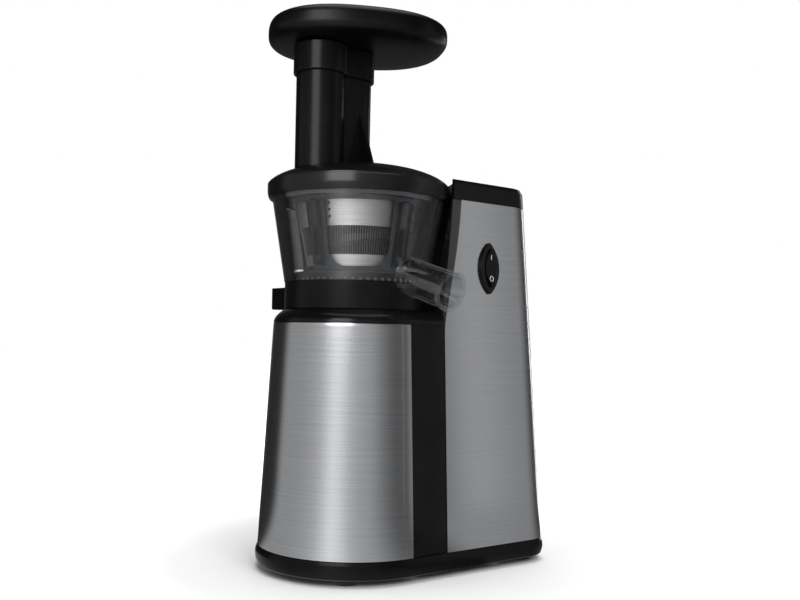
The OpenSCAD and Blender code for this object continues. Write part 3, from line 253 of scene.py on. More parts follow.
def turned(name, section, angle=360):
    """Turns a closed section round the drive axis."""
    piece = drawn(name, section)
    bpy.ops.mesh.select_all(action="SELECT")
    bpy.ops.mesh.edge_face_add()
    bpy.ops.mesh.delete(type="ONLY_FACE")
    bpy.ops.mesh.select_all(action="SELECT")
    bpy.ops.mesh.spin(steps=128, angle=math.radians(angle), center=place(0, 0, 0), axis=(0, 0, 1))
    bpy.ops.mesh.select_all(action="SELECT")
    bpy.ops.mesh.remove_doubles(threshold=0.01 * mm)
    bpy.ops.mesh.normals_make_consistent(inside=False)
    bpy.ops.object.mode_set(mode="OBJECT")
    return piece


def pick(piece, test):
    """In edit mode, selects the corners whose place in millimetres passes, with what lies between."""
    mesh = bmesh.from_edit_mesh(piece.data)
    for corner in mesh.verts:
        corner.select = test((corner.co.x - axis_x) / mm, (corner.co.y - axis_y) / mm, corner.co.z / mm)
    mesh.select_flush(True)
    bmesh.update_edit_mesh(piece.data)


lean = math.tan(math.radians(3))
foot_half_w, foot_of_steel, top_of_sleeve = 74.5, 19, 192


def half_width(z):
    return foot_half_w - lean * (z - foot_of_steel)


low, high, sleeve_t = half_width(foot_of_steel), half_width(top_of_sleeve), 0.8
sleeve = turned("Nose_sleeve", [
    (low, foot_of_steel), (high + 0.15, top_of_sleeve - 3), (high, top_of_sleeve - 0.5),
    (high - 0.35, top_of_sleeve), (high - sleeve_t, top_of_sleeve), (low - sleeve_t, foot_of_steel)],
    angle=180)
only(sleeve)
bpy.ops.object.mode_set(mode="EDIT")
pick(sleeve, lambda x, y, z: abs(y) < 0.01)
tail, tail_spread = 4, 1.004
bpy.ops.mesh.extrude_region_move(TRANSFORM_OT_translate={"value": (0, tail * mm, 0)})
bpy.ops.transform.resize(value=(tail_spread, 1, 1), center_override=place(0, 0, 0))
bpy.ops.mesh.select_all(action="SELECT")
bpy.ops.mesh.normals_make_consistent(inside=False)
bpy.ops.object.mode_set(mode="OBJECT")
brushed_sheet = metal("Brushed stainless sheet", (0.48, 0.487, 0.5), 0.21, run=(12, 12, 2500),
                      depth=0.0000014, drift=0.1)
finished(sleeve, brushed_sheet, "base", "sheet_steel", "nose_sleeve")

# ---- Tower housing ----
# The black upright shell behind the bowl. Its hollow front follows the bowl, and its two front
# edges are rounded off. The control board and the switch's sealed body sit inside.
tower = recut("tower_housing", "Tower_housing")
rounded(tower, 0.8, corner=35)
tower_black = moulded("Tower black plastic", (0.005, 0.005, 0.0053), 0.26, grain=0.15, Specular_IOR_Level=1.0)
finished(tower, tower_black, "base", "body_black", "tower_housing")
give("control_board", moulded("Board lacquer", (0.03, 0.16, 0.06), 0.3, grain=0.6))
give("board_parts", inner_nylon)
give("switch_body", inner_nylon)

# ---- Steel wrap ----
# One sheet of the same brushed stainless, folded round the back of the tower and along both flanks
# of the body, down to the tray. Its edges keep the small radius of sheared sheet.
wrap = recut("steel_wrap", "Steel_wrap")
rounded(wrap, 0.2, corner=50, rounds=2)
finished(wrap, brushed_sheet, "base", "sheet_steel", "steel_wrap", corner=20)

# ---- Tower cap ----
# A satin black cap closes the tower over the top edges of shell and steel. It is moulded, and its
# top edge is softly rounded.
satin_black = moulded("Satin black plastic", (0.0035, 0.0035, 0.0038), 0.25, grain=0.25,
                      Specular_IOR_Level=0.15)


def moved_up(piece, up, test=lambda z: True):
    """Moves the corners of a piece whose height in millimetres passes, up by a length."""
    only(piece)
    bpy.ops.object.mode_set(mode="EDIT")
    pick(piece, lambda x, y, z: test(z))
    bpy.ops.transform.translate(value=(0, 0, up * mm))
    bpy.ops.object.mode_set(mode="OBJECT")


cap_edge, cap_lift = 304, 1.5
cap = recut("tower_cap", "Tower_cap")
moved_up(cap, cap_lift, lambda z: z > cap_edge)
rounded(cap, 0.9, corner=35)
finished(cap, satin_black, "base", "body_black", "tower_cap")

# ---- Cord gland ----
# A ribbed rubber gland in the rear wall, where the cord leaves. A hexagonal nut inside the shell
# holds it.
give("cord_gland", foot_rubber)

# ---- Switch ----
# A pointed oval bezel with a rocker between its walls. The rocker tips about a pin and carries a
# raised bar and ring, the usual marks for on and off.
bezel = recut("switch_bezel", "Switch_bezel")
rounded(bezel, 0.5)
finished(bezel, gloss_black, "base", "switch_black", "switch_bezel")
rocker = recut("switch_rocker", "Switch_rocker")
rounded(rocker, 0.4)
finished(rocker, satin_black, "rocker", "switch_black", "switch_rocker")
mark_paint = moulded("Mark paint", (0.42, 0.42, 0.42), 0.35, grain=0.2, drift=0.1)
switch_y, switch_z, mark_up = 84, 239, 8.5
dish_r, dish_out = 61.2, 3.2


def on_rocker(up):
    """The place on the rocker's hollow face at a height up the switch, and how far it is tipped."""
    tip = math.pi / 2 - math.atan(lean) + math.asin(up / dish_r)
    out = dish_out + dish_r - math.sqrt(dish_r * dish_r - up * up)
    return {"location": place(half_width(switch_z) + out - up * lean, switch_y, switch_z + up + out * lean),
            "rotation": (0, tip, 0)}


off_r, off_line, off_shape, on_bar = 1.8, 0.4, (0.8, 1, 1.1), (3.8, 0.9, 0.7)
bpy.ops.object.select_all(action="DESELECT")
bpy.ops.mesh.primitive_torus_add(major_radius=off_r * mm, minor_radius=off_line * mm, major_segments=48,
                                 minor_segments=12, **on_rocker(-mark_up))
off_mark = bpy.context.object
off_mark.name = off_mark.data.name = "Off_mark"
bpy.ops.object.transform_apply()
bpy.ops.object.mode_set(mode="EDIT")
bpy.ops.mesh.select_all(action="SELECT")
bpy.ops.transform.resize(value=off_shape, center_override=on_rocker(-mark_up)["location"])
bpy.ops.object.mode_set(mode="OBJECT")
finished(off_mark, mark_paint, "rocker", "switch_black", corner=60)
bpy.ops.object.select_all(action="DESELECT")
bpy.ops.mesh.primitive_cube_add(size=mm, scale=on_bar, **on_rocker(mark_up))
on_mark = bpy.context.object
on_mark.name = on_mark.data.name = "On_mark"
bpy.ops.object.transform_apply()
rounded(on_mark, 0.3)
finished(on_mark, mark_paint, "rocker", "switch_black")

# ---- Bowl ring ----
# The black ring that the clear bowl sits in, with a hub and ribs under the bowl's floor, and the
# seal that wipes the drive shaft.
ring = recut("bowl_ring", "Bowl_ring")
rounded(ring, 0.6)
finished(ring, satin_black, "bowl", "ring_black", "bowl_ring")
give("bowl_seal", seal_rubber)

# ---- Pulp channel ----
# The square-mouthed channel that takes the dry pulp out to the side, moulded of the same satin
# black plastic as the ring and fixed to it.
channel = recut("pulp_channel", "Pulp_channel")
rounded(channel, 0.7)
finished(channel, satin_black, "bowl", "ring_black", "pulp_channel")

# ---- Bowl and juice spout ----
# Bowl, spout and pulp pipe are clear plastic, moulded thick. It lets the brush show through and
# shines where it turns away. Where the wall is seen edge on, an opaque skin is painted in by the angle
# of view: near black on the bowl and pipe, a painted shade, and mid grey on the spout, a painted sheen.


def clear(name, tint, shine, dark_from, dark, edge_colour):
    """Clear plastic: see-through where it faces, with a gloss that grows, and an opaque skin of the edge
    colour painted in where it is seen edge on.
    """
    paint = bpy.data.materials.new(name)
    paint.use_nodes = True
    nodes, wire = paint.node_tree.nodes, paint.node_tree.links.new
    skin, out = nodes["Principled BSDF"], nodes["Material Output"]
    skin.inputs["Base Color"].default_value = (*edge_colour, 1)
    skin.inputs["Roughness"].default_value = 0.06
    through = nodes.new("ShaderNodeBsdfTransparent")
    through.inputs["Color"].default_value = (*tint, 1)
    gloss = nodes.new("ShaderNodeBsdfGlossy")
    gloss.inputs["Roughness"].default_value = 0.03
    facing = nodes.new("ShaderNodeLayerWeight")
    facing.inputs["Blend"].default_value = 0.5
    steep = nodes.new("ShaderNodeMath")
    steep.operation = "POWER"
    steep.inputs[1].default_value = 4
    glance = nodes.new("ShaderNodeMapRange")
    glance.inputs["To Min"].default_value = shine
    # Painted edge: as the surface turns edge on, the opaque skin of edge_colour is mixed in over the clear.
    edge = nodes.new("ShaderNodeMapRange")
    edge.interpolation_type = "SMOOTHSTEP"
    edge.inputs["From Min"].default_value, edge.inputs["From Max"].default_value = dark_from
    edge.inputs["To Min"].default_value, edge.inputs["To Max"].default_value = dark
    shiny, whole = nodes.new("ShaderNodeMixShader"), nodes.new("ShaderNodeMixShader")
    ripple_place = nodes.new("ShaderNodeTexCoord")
    ripple = nodes.new("ShaderNodeTexNoise")
    ripple.inputs["Scale"].default_value = 60
    relief = nodes.new("ShaderNodeBump")
    relief.inputs["Strength"].default_value = 0.3
    relief.inputs["Distance"].default_value = 0.00005
    wire(ripple_place.outputs["Object"], ripple.inputs["Vector"])
    wire(ripple.outputs["Fac"], relief.inputs["Height"])
    wire(relief.outputs["Normal"], gloss.inputs["Normal"])
    wire(facing.outputs["Facing"], steep.inputs[0])
    wire(steep.outputs["Value"], glance.inputs["Value"])
    wire(glance.outputs["Result"], shiny.inputs["Fac"])
    wire(through.outputs["BSDF"], shiny.inputs[1])
    wire(gloss.outputs["BSDF"], shiny.inputs[2])
    wire(facing.outputs["Facing"], edge.inputs["Value"])
    wire(edge.outputs["Result"], whole.inputs["Fac"])
    wire(shiny.outputs["Shader"], whole.inputs[1])
    wire(skin.outputs["BSDF"], whole.inputs[2])
    wire(whole.outputs["Shader"], out.inputs["Surface"])
    return paint


# The bowl's and pulp pipe's sides are painted near black where they are seen edge on, a painted shade.
bowl_plastic = clear("Clear bowl plastic", (0.93, 0.94, 0.95), shine=0.035,
                     dark_from=(0.45, 0.6), dark=(0.01, 0.9), edge_colour=(0.02, 0.02, 0.021))
bowl = recut("bowl", "Bowl")
rounded(bowl, 0.5)
finished(bowl, bowl_plastic, "bowl", "bowl_clear", "bowl")
give("pulp_pipe", bowl_plastic)
# The spout's edge-on wall is painted toward an opaque mid grey, a painted sheen.
spout_plastic = clear("Clear spout plastic", (0.9, 0.905, 0.91), shine=0.07,
                      dark_from=(0.72, 0.95), dark=(0.01, 0.9), edge_colour=(0.34, 0.345, 0.35))
spout = recut("juice_spout", "Juice_spout")
rounded(spout, 0.5)
finished(spout, spout_plastic, "bowl", "bowl_clear", "juice_spout")

# ---- Strainer ----
# A bright sheet, rolled to a cone and etched through in a belt of 144 fine slots, stands in a black
# frame of floor, four wide pillars and top ring. Small square holes in it take the frame's pegs.
tough_black = moulded("Tough black plastic", (0.012, 0.012, 0.013), 0.35)
give("brush_idler", milky_nylon)
cone_low, cone_high, cone_low_r, cone_high_r = 231, 291, 39, 50
sheet_low, sheet_high, sheet_t = 233, 288.5, 0.8


def strainer_radius(z):
    return cone_low_r + (cone_high_r - cone_low_r) * (z - cone_low) / (cone_high - cone_low)


bpy.ops.object.select_all(action="DESELECT")
bpy.ops.mesh.primitive_cone_add(vertices=720, radius1=strainer_radius(sheet_low) * mm,
                                radius2=strainer_radius(sheet_high) * mm, depth=(sheet_high - sheet_low) * mm,
                                end_fill_type="NOTHING", location=place(0, 0, (sheet_low + sheet_high) / 2))
sheet = bpy.context.object
sheet.name = sheet.data.name = "Strainer_sheet"
bpy.ops.object.transform_apply()
bpy.ops.object.mode_set(mode="EDIT")
slot_low, slot_high, slot_step, slot_w = 244.5, 266, 2.5, 2
hole_heights, hole_from, hole_step, hole_w = [(271.8, 273.8), (276.8, 278.8), (281.8, 283.8)], 296.2, 90, 2.4
for level in [slot_low, slot_high] + [end for hole in hole_heights for end in hole]:
    bpy.ops.mesh.select_all(action="SELECT")
    bpy.ops.mesh.bisect(plane_co=place(0, 0, level), plane_no=(0, 0, 1))


def pick_faces(piece, test):
    """In edit mode, selects the faces whose middle passes, by its turn round the axis and its height."""
    bpy.ops.mesh.select_all(action="DESELECT")
    mesh = bmesh.from_edit_mesh(piece.data)
    for face in mesh.faces:
        middle = face.calc_center_median()
        turn = math.degrees(math.atan2(middle.y - axis_y, middle.x - axis_x)) % 360
        face.select_set(test(turn, middle.z / mm))
    bmesh.update_edit_mesh(piece.data)


pick_faces(sheet, lambda turn, z: slot_low < z < slot_high and turn % slot_step < slot_w)
bpy.ops.mesh.delete(type="FACE")
pick_faces(sheet, lambda turn, z: (turn - hole_from) % hole_step < hole_w
           and any(low < z < high for low, high in hole_heights))
bpy.ops.mesh.delete(type="FACE")
bpy.ops.object.mode_set(mode="OBJECT")
only(sheet)
thick = sheet.modifiers.new("Sheet", "SOLIDIFY")
thick.thickness, thick.offset = sheet_t * mm, -1
bpy.ops.object.modifier_apply(modifier=thick.name)
bright_sheet = metal("Bright pierced sheet", (0.66, 0.635, 0.61), 0.42, run=(40, 40, 900), depth=0.00001)
finished(sheet, bright_sheet, "bowl", "strainer_steel", "strainer_sheet", corner=25)
# The belt of slots is given a much darker grey metal than the rest of the sheet.
sheet.data.materials.append(metal("Darker slotted belt", (0.2, 0.2, 0.2), 0.5, run=(40, 40, 900)))
for face in sheet.data.polygons:
    face.material_index = int(slot_low < face.center.z / mm < slot_high)


def cut_round(piece, radius, x, y, low, high):
    """Drills an upright round hole through a piece."""
    bpy.ops.object.select_all(action="DESELECT")
    bpy.ops.mesh.primitive_cylinder_add(vertices=96, radius=radius * mm, depth=(high - low) * mm,
                                        location=place(x, y, (low + high) / 2))
    drill = bpy.context.object
    only(piece)
    cut = piece.modifiers.new("Hole", "BOOLEAN")
    cut.operation, cut.object, cut.solver = "DIFFERENCE", drill, "EXACT"
    bpy.ops.object.modifier_apply(modifier=cut.name)
    bpy.data.objects.remove(drill)


def hoop(name, inner, outer, low, high):
    """A plain hoop round the drive axis."""
    return turned(name, [(inner, low), (outer, low), (outer, high), (inner, high)])


def repeated_round(count):
    """In edit mode, repeats what is modelled round the drive axis, and leaves edit mode."""
    bpy.ops.mesh.select_all(action="SELECT")
    bpy.ops.mesh.spin(steps=count, angle=math.radians(360), center=place(0, 0, 0), axis=(0, 0, 1), dupli=True)
    bpy.ops.mesh.select_all(action="SELECT")
    bpy.ops.mesh.remove_doubles(threshold=0.01 * mm)
    bpy.ops.object.mode_set(mode="OBJECT")


floor_of_strainer = hoop("Strainer_floor", inner=11.4, outer=cone_low_r, low=cone_low, high=232.9)
cut_round(floor_of_strainer, radius=6.2, x=-32, y=0, low=228, high=236)
finished(floor_of_strainer, tough_black, "bowl", "strainer_black", "strainer_frame")
top_ring = hoop("Strainer_top_ring", inner=48.7, outer=50.6, low=288.6, high=cone_high)
rounded(top_ring, 0.3)
finished(top_ring, tough_black, "bowl", "strainer_black", "strainer_frame")
pillar_count, pillar_w, pillar_top = 4, 24, 289
pillars = drawn("Strainer_pillars", [
    (39.3, cone_low), (40.2, cone_low), (50.63, pillar_top), (49.7, pillar_top)])
bpy.ops.mesh.select_all(action="SELECT")
bpy.ops.mesh.edge_face_add()
bpy.ops.mesh.spin(steps=8, angle=math.radians(pillar_w), center=place(0, 0, 0), axis=(0, 0, -1))
bpy.ops.mesh.select_all(action="SELECT")
bpy.ops.mesh.normals_make_consistent(inside=False)
repeated_round(pillar_count)
finished(pillars, tough_black, "bowl", "strainer_black", "strainer_frame")

# ---- Brush ----
# A smoky windowed cone over a toothed ring, with soft wipers that sweep the bowl and the strainer.
# A row of small pegs round the toothed ring keeps pulp from packing under the cone.
give("brush_ring", tough_black)
smoky = clear("Smoky brush plastic", (0.6, 0.61, 0.63), shine=0.05,
              dark_from=(0.0, 0.7), dark=(0.8, 0.97), edge_colour=(0.07, 0.072, 0.076))
brush = recut("brush_frame", "Brush_frame")
rounded(brush, 0.5)
finished(brush, smoky, "brush", "brush_smoke", "brush_frame")
give("brush_wipers", clear("Wiper silicone", (0.5, 0.505, 0.51), shine=0.03,
                           dark_from=(0.0, 1.0), dark=(0.5, 0.7), edge_colour=(0.05, 0.051, 0.053)))
peg_size, peg_at, peg_height, peg_count = (2, 2.2, 2.4), 50, 225.6, 56
bpy.ops.object.select_all(action="DESELECT")
bpy.ops.mesh.primitive_cube_add(size=mm, scale=peg_size, location=place(peg_at, 0, peg_height))
pegs = bpy.context.object
pegs.name = pegs.data.name = "Ring_pegs"
bpy.ops.object.transform_apply()
rounded(pegs, 0.5)
bpy.ops.object.mode_set(mode="EDIT")
repeated_round(peg_count)
finished(pegs, moulded("Peg plastic", (0.14, 0.143, 0.15), 0.25), "brush", "brush_smoke")

# ---- Screw ----
# The pressing screw of hard black plastic, with the steel pin on top that turns in the lid's bush
# and the small gear below that drives the brush.
screw = recut("screw", "Screw")
finished(screw, tough_black, "screw", "screw_plastic", "screw", corner=40)
give("screw_pin", ground_steel)
give("screw_gear", tough_black)

# ---- Lid ----
# A black domed lid with a rolled rim, moulded in one with a plug ring that enters the bowl and the
# boss of the screw's bearing. The funnel is pressed in under it, and the feed tube stands on it.
lid_black = moulded("Lid plastic", (0.005, 0.005, 0.0053), 0.22, grain=0.2, Specular_IOR_Level=0.35)
lid_r, rim_low, rim_top, crown_top = 72.3, 289.5, 301.5, 317.5
lid_bore, under_crown, crown_wall = 68.9, 294, 2.8


def crown(drop, steps=14):
    """The lid's crown from the rim to the middle, as a curve with two handles, sunk by a wall's thickness."""
    ends = [(lid_r - 1.1, rim_top + 1.1), (lid_r - 8.3, rim_top + 8), (44, crown_top), (0, crown_top)]
    for step in range(steps + 1):
        t = step / steps
        share = ((1 - t) ** 3, 3 * t * (1 - t) ** 2, 3 * t * t * (1 - t), t ** 3)
        out, up = (sum(part * end[i] for part, end in zip(share, ends)) for i in (0, 1))
        yield max(out - drop * (1 - t), 0), up - drop


rim = [(lid_bore, rim_low + 0.4), (lid_r - 1.8, rim_low), (lid_r - 0.9, rim_low + 1.2),
       (lid_r - 0.2, rim_low + 4), (lid_r, rim_low + 6), (lid_r, rim_top - 0.4), (lid_r - 0.3, rim_top)]
groove = [(lid_r - 1, rim_top), (lid_r - 1, rim_top + 0.7)]
lid = turned("Lid", rim + groove + [*crown(0), *reversed(list(crown(crown_wall))), (lid_bore, under_crown)])
cut_round(lid, radius=16.4, x=0, y=-38, low=280, high=330)
rounded(lid, 0.35, corner=28, rounds=2)
finished(lid, lid_black, "lid", "lid_black", "lid", corner=24)
plug = hoop("Lid_plug", inner=62.3, outer=64.3, low=286.5, high=305.5)
rounded(plug, 0.4)
finished(plug, lid_black, "lid", "lid_black", "lid")
boss = hoop("Lid_boss", inner=7.1, outer=9.5, low=293.5, high=316)
rounded(boss, 0.4)
finished(boss, lid_black, "lid", "lid_black", "lid")
funnel_brim, funnel_drop = 305, 4.5
funnel = recut("lid_funnel", "Lid_funnel")
moved_up(funnel, -funnel_drop, lambda z: z > funnel_brim)
finished(funnel, lid_black, "lid", "lid_black", "lid_funnel")
give("lid_bush", milky_nylon)
give("lid_seal", seal_rubber)
tube_foot, tube_drop = 318.4, 3.2
tube = recut("feed_tube", "Feed_tube")
moved_up(tube, -tube_drop, lambda z: z < tube_foot)
rounded(tube, 0.6)
finished(tube, satin_black, "lid", "lid_black", "feed_tube")

# ---- Pusher ----
# The hollow stem slides in the feed tube. The collar drops over tube and brace, and the flattened
# oval grip on top of it has a soft satin skin.
give("pusher_stem", satin_black)
collar_lift = 4
collar = recut("pusher_collar", "Pusher_collar")
moved_up(collar, collar_lift)
rounded(collar, 0.7)
finished(collar, satin_black, "pusher", "lid_black", "pusher_collar")
soft_black = moulded("Soft satin grip", (0.0015, 0.0015, 0.0016), 0.34, grain=0.3, Specular_IOR_Level=0.2)
grip_y, grip_low, grip_high, grip_half_w, grip_half_l, grip_turn = -4, 405.85, 432.9, 56, 70.5, 26
side_fullness, plan_fullness = 3.4, 2.5
grip_meridians, grip_rings = 96, 48
grip_middle = place(0, grip_y, (grip_low + grip_high) / 2)
bpy.ops.object.select_all(action="DESELECT")
bpy.ops.mesh.primitive_uv_sphere_add(segments=grip_meridians, ring_count=grip_rings, radius=1,
                                     location=grip_middle)
grip = bpy.context.object
grip.name = grip.data.name = "Pusher_grip"
bpy.ops.object.transform_apply(location=True)
bpy.ops.object.mode_set(mode="EDIT")


def fuller(piece, angles, power, test):
    """Selects each set of corners of the round form in turn, with its growth to a fuller oval."""
    for angle in angles:
        c, s = abs(math.cos(angle)), abs(math.sin(angle))
        mesh = bmesh.from_edit_mesh(piece.data)
        for corner in mesh.verts:
            corner.select = test(corner.co - grip_middle, c, s)
        mesh.select_flush(True)
        bmesh.update_edit_mesh(piece.data)
        yield (c ** power + s ** power) ** (-1 / power)


def on_meridian(way, c, s, near=0.0001):
    across = math.hypot(way.x, way.y)
    return across > near and abs(abs(way.x) - c * across) < near and abs(abs(way.y) - s * across) < near


def on_ring(way, c, s, near=0.0005):
    return abs(abs(way.z) - s) < near


turns = [math.pi * n / (grip_meridians // 2) for n in range(1, grip_meridians // 4)]
for growth in fuller(grip, turns, plan_fullness, on_meridian):
    bpy.ops.transform.resize(value=(growth, growth, 1), center_override=grip_middle)
ball = bmesh.from_edit_mesh(grip.data)
heights = sorted({round(abs(corner.co.z - grip_middle.z), 5) for corner in ball.verts})
for growth in fuller(grip, [math.asin(height) for height in heights[1:-1]], side_fullness, on_ring):
    bpy.ops.transform.resize(value=(growth, growth, growth), center_override=grip_middle)
bpy.ops.mesh.select_all(action="SELECT")
bpy.ops.transform.resize(value=(grip_half_w * mm, grip_half_l * mm, (grip_high - grip_low) / 2 * mm),
                         center_override=grip_middle)
bpy.ops.transform.rotate(value=math.radians(grip_turn), orient_axis="Z", center_override=grip_middle)
bpy.ops.object.mode_set(mode="OBJECT")
finished(grip, soft_black, "pusher", "knob_black", "pusher_knob", corner=60)

# ---- Floor and studio ----
# A pale floor that runs out to white through a painted glow that only the camera sees. A ring of soft
# boxes and dark flags, a lit ceiling and two cards show only in the shine of steel, clear and black plastic.
floor_w, white_from, white_at = 16, 0.17, 0.6
bpy.ops.object.select_all(action="DESELECT")
bpy.ops.mesh.primitive_plane_add(size=floor_w, location=(0, 0, 0))
floor = bpy.context.object
floor.name = "Floor"
pale = bpy.data.materials.new("Pale floor")
pale.use_nodes = True
nodes, wire = pale.node_tree.nodes, pale.node_tree.links.new
skin = nodes["Principled BSDF"]
skin.inputs["Base Color"].default_value = (0.9, 0.9, 0.9, 1)
skin.inputs["Specular IOR Level"].default_value = 0
skin.inputs["Emission Color"].default_value = (1, 1, 1, 1)
where = nodes.new("ShaderNodeTexCoord")
far = nodes.new("ShaderNodeVectorMath")
far.operation = "LENGTH"
fade = nodes.new("ShaderNodeMapRange")
fade.inputs["From Min"].default_value, fade.inputs["From Max"].default_value = white_from, white_at
# Painted light: the floor glows for the camera only. There is no glow within white_from of the floor's
# middle, where the object stands, and full glow from white_at out, so the far floor reads white while the
# lamps' shadow shows near the object.
to_camera, lift = nodes.new("ShaderNodeLightPath"), nodes.new("ShaderNodeMath")
lift.operation = "MULTIPLY"
wire(where.outputs["Object"], far.inputs[0])
wire(far.outputs["Value"], fade.inputs["Value"])
wire(fade.outputs["Result"], lift.inputs[0])
wire(to_camera.outputs["Is Camera Ray"], lift.inputs[1])
wire(lift.outputs["Value"], skin.inputs["Emission Strength"])
floor.data.materials.append(pale)


def plain_glow(name, strength):
    """A stage material that glows evenly."""
    paint = bpy.data.materials.new(name)
    paint.use_nodes = True
    nodes, wire = paint.node_tree.nodes, paint.node_tree.links.new
    nodes.clear()
    out, glow = nodes.new("ShaderNodeOutputMaterial"), nodes.new("ShaderNodeEmission")
    glow.inputs["Color"].default_value = (1, 1, 1, 1)
    glow.inputs["Strength"].default_value = strength
    wire(glow.outputs["Emission"], out.inputs["Surface"])
    return paint


def in_levels(paint, levels, low, high):
    """Spreads levels of light over a span, and gives the span's input and the light's output."""
    nodes, wire = paint.node_tree.nodes, paint.node_tree.links.new
    strength = nodes["Emission"].inputs["Strength"].default_value
    share, ramp = nodes.new("ShaderNodeMapRange"), nodes.new("ShaderNodeValToRGB")
    share.inputs["From Min"].default_value, share.inputs["From Max"].default_value = low, high
    while len(ramp.color_ramp.elements) < len(levels):
        ramp.color_ramp.elements.new(0.5)
    for element, (at, level) in zip(ramp.color_ramp.elements, levels):
        element.position = (at - low) / (high - low)
    for element, (at, level) in zip(ramp.color_ramp.elements, levels):
        element.color = (level / strength, level / strength, level / strength, 1)
    wire(share.outputs["Result"], ramp.inputs["Fac"])
    return share.inputs["Value"], ramp.outputs["Color"]


def card(name, paint):
    """Sets up the last thing made as a card that shows only in the shine of the object."""
    piece = bpy.context.object
    piece.name = name
    bpy.ops.object.transform_apply()
    piece.data.materials.append(paint)
    for sight in ("camera", "diffuse", "transmission", "shadow", "volume_scatter"):
        setattr(piece, "visible_" + sight, False)


# The ring's levels go by the degrees round from the camera's side, and fade out above.
view_angle, unlit = -35.0, 0.03
ring_r, ring_tall, ring_middle, fade_from, fade_to = 0.62, 1.6, 0.802, 0.5, 0.58
ring_levels = [
    (-180, 0.12), (-150, 0.12), (-146, 0.03), (-104, 0.03), (-93, 0.5), (-83, 0.47), (-66, 0.49),
    (-51, 0.58), (-42, 0.7), (-34, 1.0), (-25, 1.4), (-15, 1.1), (-7, 0.75), (4, 0.6), (17, 0.52),
    (31, 0.3), (45, 0.16), (60, 0.12), (66, 0.5), (92, 0.3), (110, 0.1), (129, 0.05), (131, 3.5),
    (135, 3.5), (137, 0.05), (147, 0.05), (150, 0.12), (180, 0.12)]
ring_strength = 6
ring_glow = plain_glow("Boxes and flags", ring_strength)
degree, light = in_levels(ring_glow, ring_levels, -180, 180)
nodes, wire = ring_glow.node_tree.nodes, ring_glow.node_tree.links.new
where, split = nodes.new("ShaderNodeTexCoord"), nodes.new("ShaderNodeSeparateXYZ")
angle, turn, round_to, degrees = (nodes.new("ShaderNodeMath") for _ in range(4))
angle.operation, turn.operation = "ARCTAN2", "SUBTRACT"
round_to.operation, degrees.operation = "WRAP", "DEGREES"
turn.inputs[1].default_value = math.radians(view_angle)
round_to.inputs[1].default_value, round_to.inputs[2].default_value = math.pi, -math.pi
fade = nodes.new("ShaderNodeMapRange")
fade.interpolation_type = "SMOOTHSTEP"
fade.inputs["From Min"].default_value, fade.inputs["From Max"].default_value = fade_from, fade_to
dim = nodes.new("ShaderNodeMix")
dim.data_type = "RGBA"
lit_colour, unlit_colour = dim.inputs[6], dim.inputs[7]
unlit_colour.default_value = (unlit / ring_strength, unlit / ring_strength, unlit / ring_strength, 1)
wire(where.outputs["Object"], split.inputs["Vector"])
wire(split.outputs["Y"], angle.inputs[0])
wire(split.outputs["X"], angle.inputs[1])
wire(angle.outputs["Value"], turn.inputs[0])
wire(turn.outputs["Value"], round_to.inputs[0])
wire(round_to.outputs["Value"], degrees.inputs[0])
wire(degrees.outputs["Value"], degree)
wire(split.outputs["Z"], fade.inputs["Value"])
wire(fade.outputs["Result"], dim.inputs[0])
wire(light, lit_colour)
wire(dim.outputs[2], nodes["Emission"].inputs["Color"])
bpy.ops.object.select_all(action="DESELECT")
bpy.ops.mesh.primitive_cylinder_add(vertices=128, radius=ring_r, depth=ring_tall,
                                    location=(0, 0, ring_middle), end_fill_type="NGON")
card("Studio_ring", ring_glow)

ceiling_z = 1.58
bpy.ops.object.select_all(action="DESELECT")
bpy.ops.mesh.primitive_circle_add(vertices=64, radius=ring_r, fill_type="NGON", location=(0, 0, ceiling_z))
card("Overhead_box", plain_glow("Overhead box", 2))


def upright(middle, half_w, half_h, turn=0):
    """Stands up a card that faces along X before its turn in degrees."""
    bpy.ops.object.select_all(action="DESELECT")
    bpy.ops.mesh.primitive_plane_add(rotation=(0, math.pi / 2, math.radians(turn)), location=middle)
    bpy.ops.transform.resize(value=(half_w, half_w, half_h))


# The side card's levels go by the way back from the drive axis.
side_y, side_half_w, side_span = 0.47, 0.17, 0.2
side_levels = [
    (0.3, 0.05), (0.345, 0.08), (0.362, 1.05), (0.38, 0.85), (0.44, 0.42), (0.525, 0.2), (0.64, 0.16)]
side_glow = plain_glow("Side card", 2)
back, light = in_levels(side_glow, side_levels, side_y - side_span, side_y + side_span)
nodes, wire = side_glow.node_tree.nodes, side_glow.node_tree.links.new
where, split = nodes.new("ShaderNodeTexCoord"), nodes.new("ShaderNodeSeparateXYZ")
from_axis = nodes.new("ShaderNodeMath")
from_axis.operation = "SUBTRACT"
from_axis.inputs[1].default_value = axis_y
wire(where.outputs["Object"], split.inputs["Vector"])
wire(split.outputs["Y"], from_axis.inputs[0])
wire(from_axis.outputs["Value"], back)
wire(light, nodes["Emission"].inputs["Color"])
upright((axis_x + 0.422, axis_y + side_y, 0.3), side_half_w, 0.4)
card("Side_card", side_glow)
upright((0.318, -0.509, 0.56), 0.25, 0.24, turn=-58)
card("High_card", plain_glow("High card", 6))

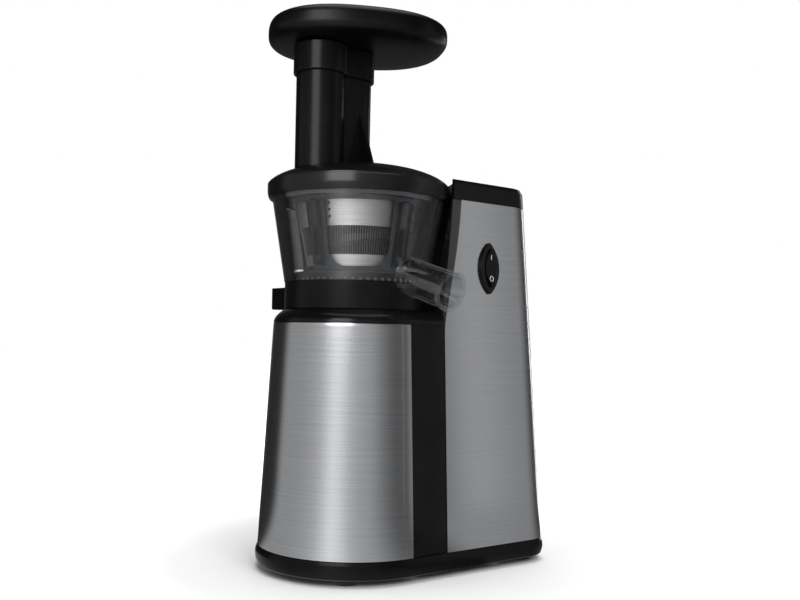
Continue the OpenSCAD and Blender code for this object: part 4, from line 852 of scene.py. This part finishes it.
# The background is white to the camera and in shine, and a plain grey light to all else.
light_level = 0.32
world = bpy.data.worlds.new("Studio")
bpy.context.scene.world = world
world.use_nodes = True
nodes, wire = world.node_tree.nodes, world.node_tree.links.new
nodes.clear()
out = nodes.new("ShaderNodeOutputWorld")
seen, unseen = nodes.new("ShaderNodeBackground"), nodes.new("ShaderNodeBackground")
seen.inputs["Color"].default_value = (1, 1, 1, 1)
unseen.inputs["Color"].default_value = (light_level, light_level, light_level, 1)
path = nodes.new("ShaderNodeLightPath")
either, any_of = nodes.new("ShaderNodeMath"), nodes.new("ShaderNodeMath")
either.operation = any_of.operation = "MAXIMUM"
mix = nodes.new("ShaderNodeMixShader")
wire(path.outputs["Is Camera Ray"], either.inputs[0])
wire(path.outputs["Is Glossy Ray"], either.inputs[1])
wire(either.outputs["Value"], any_of.inputs[0])
wire(path.outputs["Is Transmission Ray"], any_of.inputs[1])
wire(any_of.outputs["Value"], mix.inputs["Fac"])
wire(unseen.outputs["Background"], mix.inputs[1])
wire(seen.outputs["Background"], mix.inputs[2])
wire(mix.outputs["Shader"], out.inputs["Surface"])


def lamp(name, where, aim, size, power):
    """A soft rectangular lamp aimed at a place."""
    light = bpy.data.lights.new(name, "AREA")
    light.shape, light.size, light.size_y, light.energy = "RECTANGLE", size[0], size[1], power
    stand = bpy.data.objects.new(name, light)
    stand.location = where
    stand.rotation_euler = (Vector(where) - Vector(aim)).to_track_quat("Z", "Y").to_euler()
    bpy.context.scene.collection.objects.link(stand)
    stand.visible_glossy = False


lamp("Key", (1.7, -0.5, 1.3), (0, 0, 0.2), (1.2, 1.2), 25)
lamp("Top", (-0.1, 0.2, 2.2), (0, 0, 0), (1.6, 1.6), 35)
lamp("Fill", (-1.3, -1.3, 1.0), (0, 0, 0.2), (1.2, 1.2), 3)

# ---- Camera ----
# Held level, so uprights stay upright, with its view shifted up and rolled by a little over one
# degree.
camera_out, camera_side, camera_up = 0.6228, -0.4361, 0.1796
heading, roll = math.radians(52.33), -0.0212
lens = bpy.data.cameras.new("Camera")
camera = bpy.data.objects.new("Camera", lens)
bpy.context.scene.collection.objects.link(camera)
camera.location = (axis_x + camera_out, axis_y + camera_side, camera_up)
camera.rotation_euler = (math.radians(90), roll, heading)
lens.lens, lens.sensor_width, lens.shift_y = 42.73, 36, 0.0512
bpy.context.scene.camera = camera
bpy.context.scene.view_settings.view_transform = "Standard"
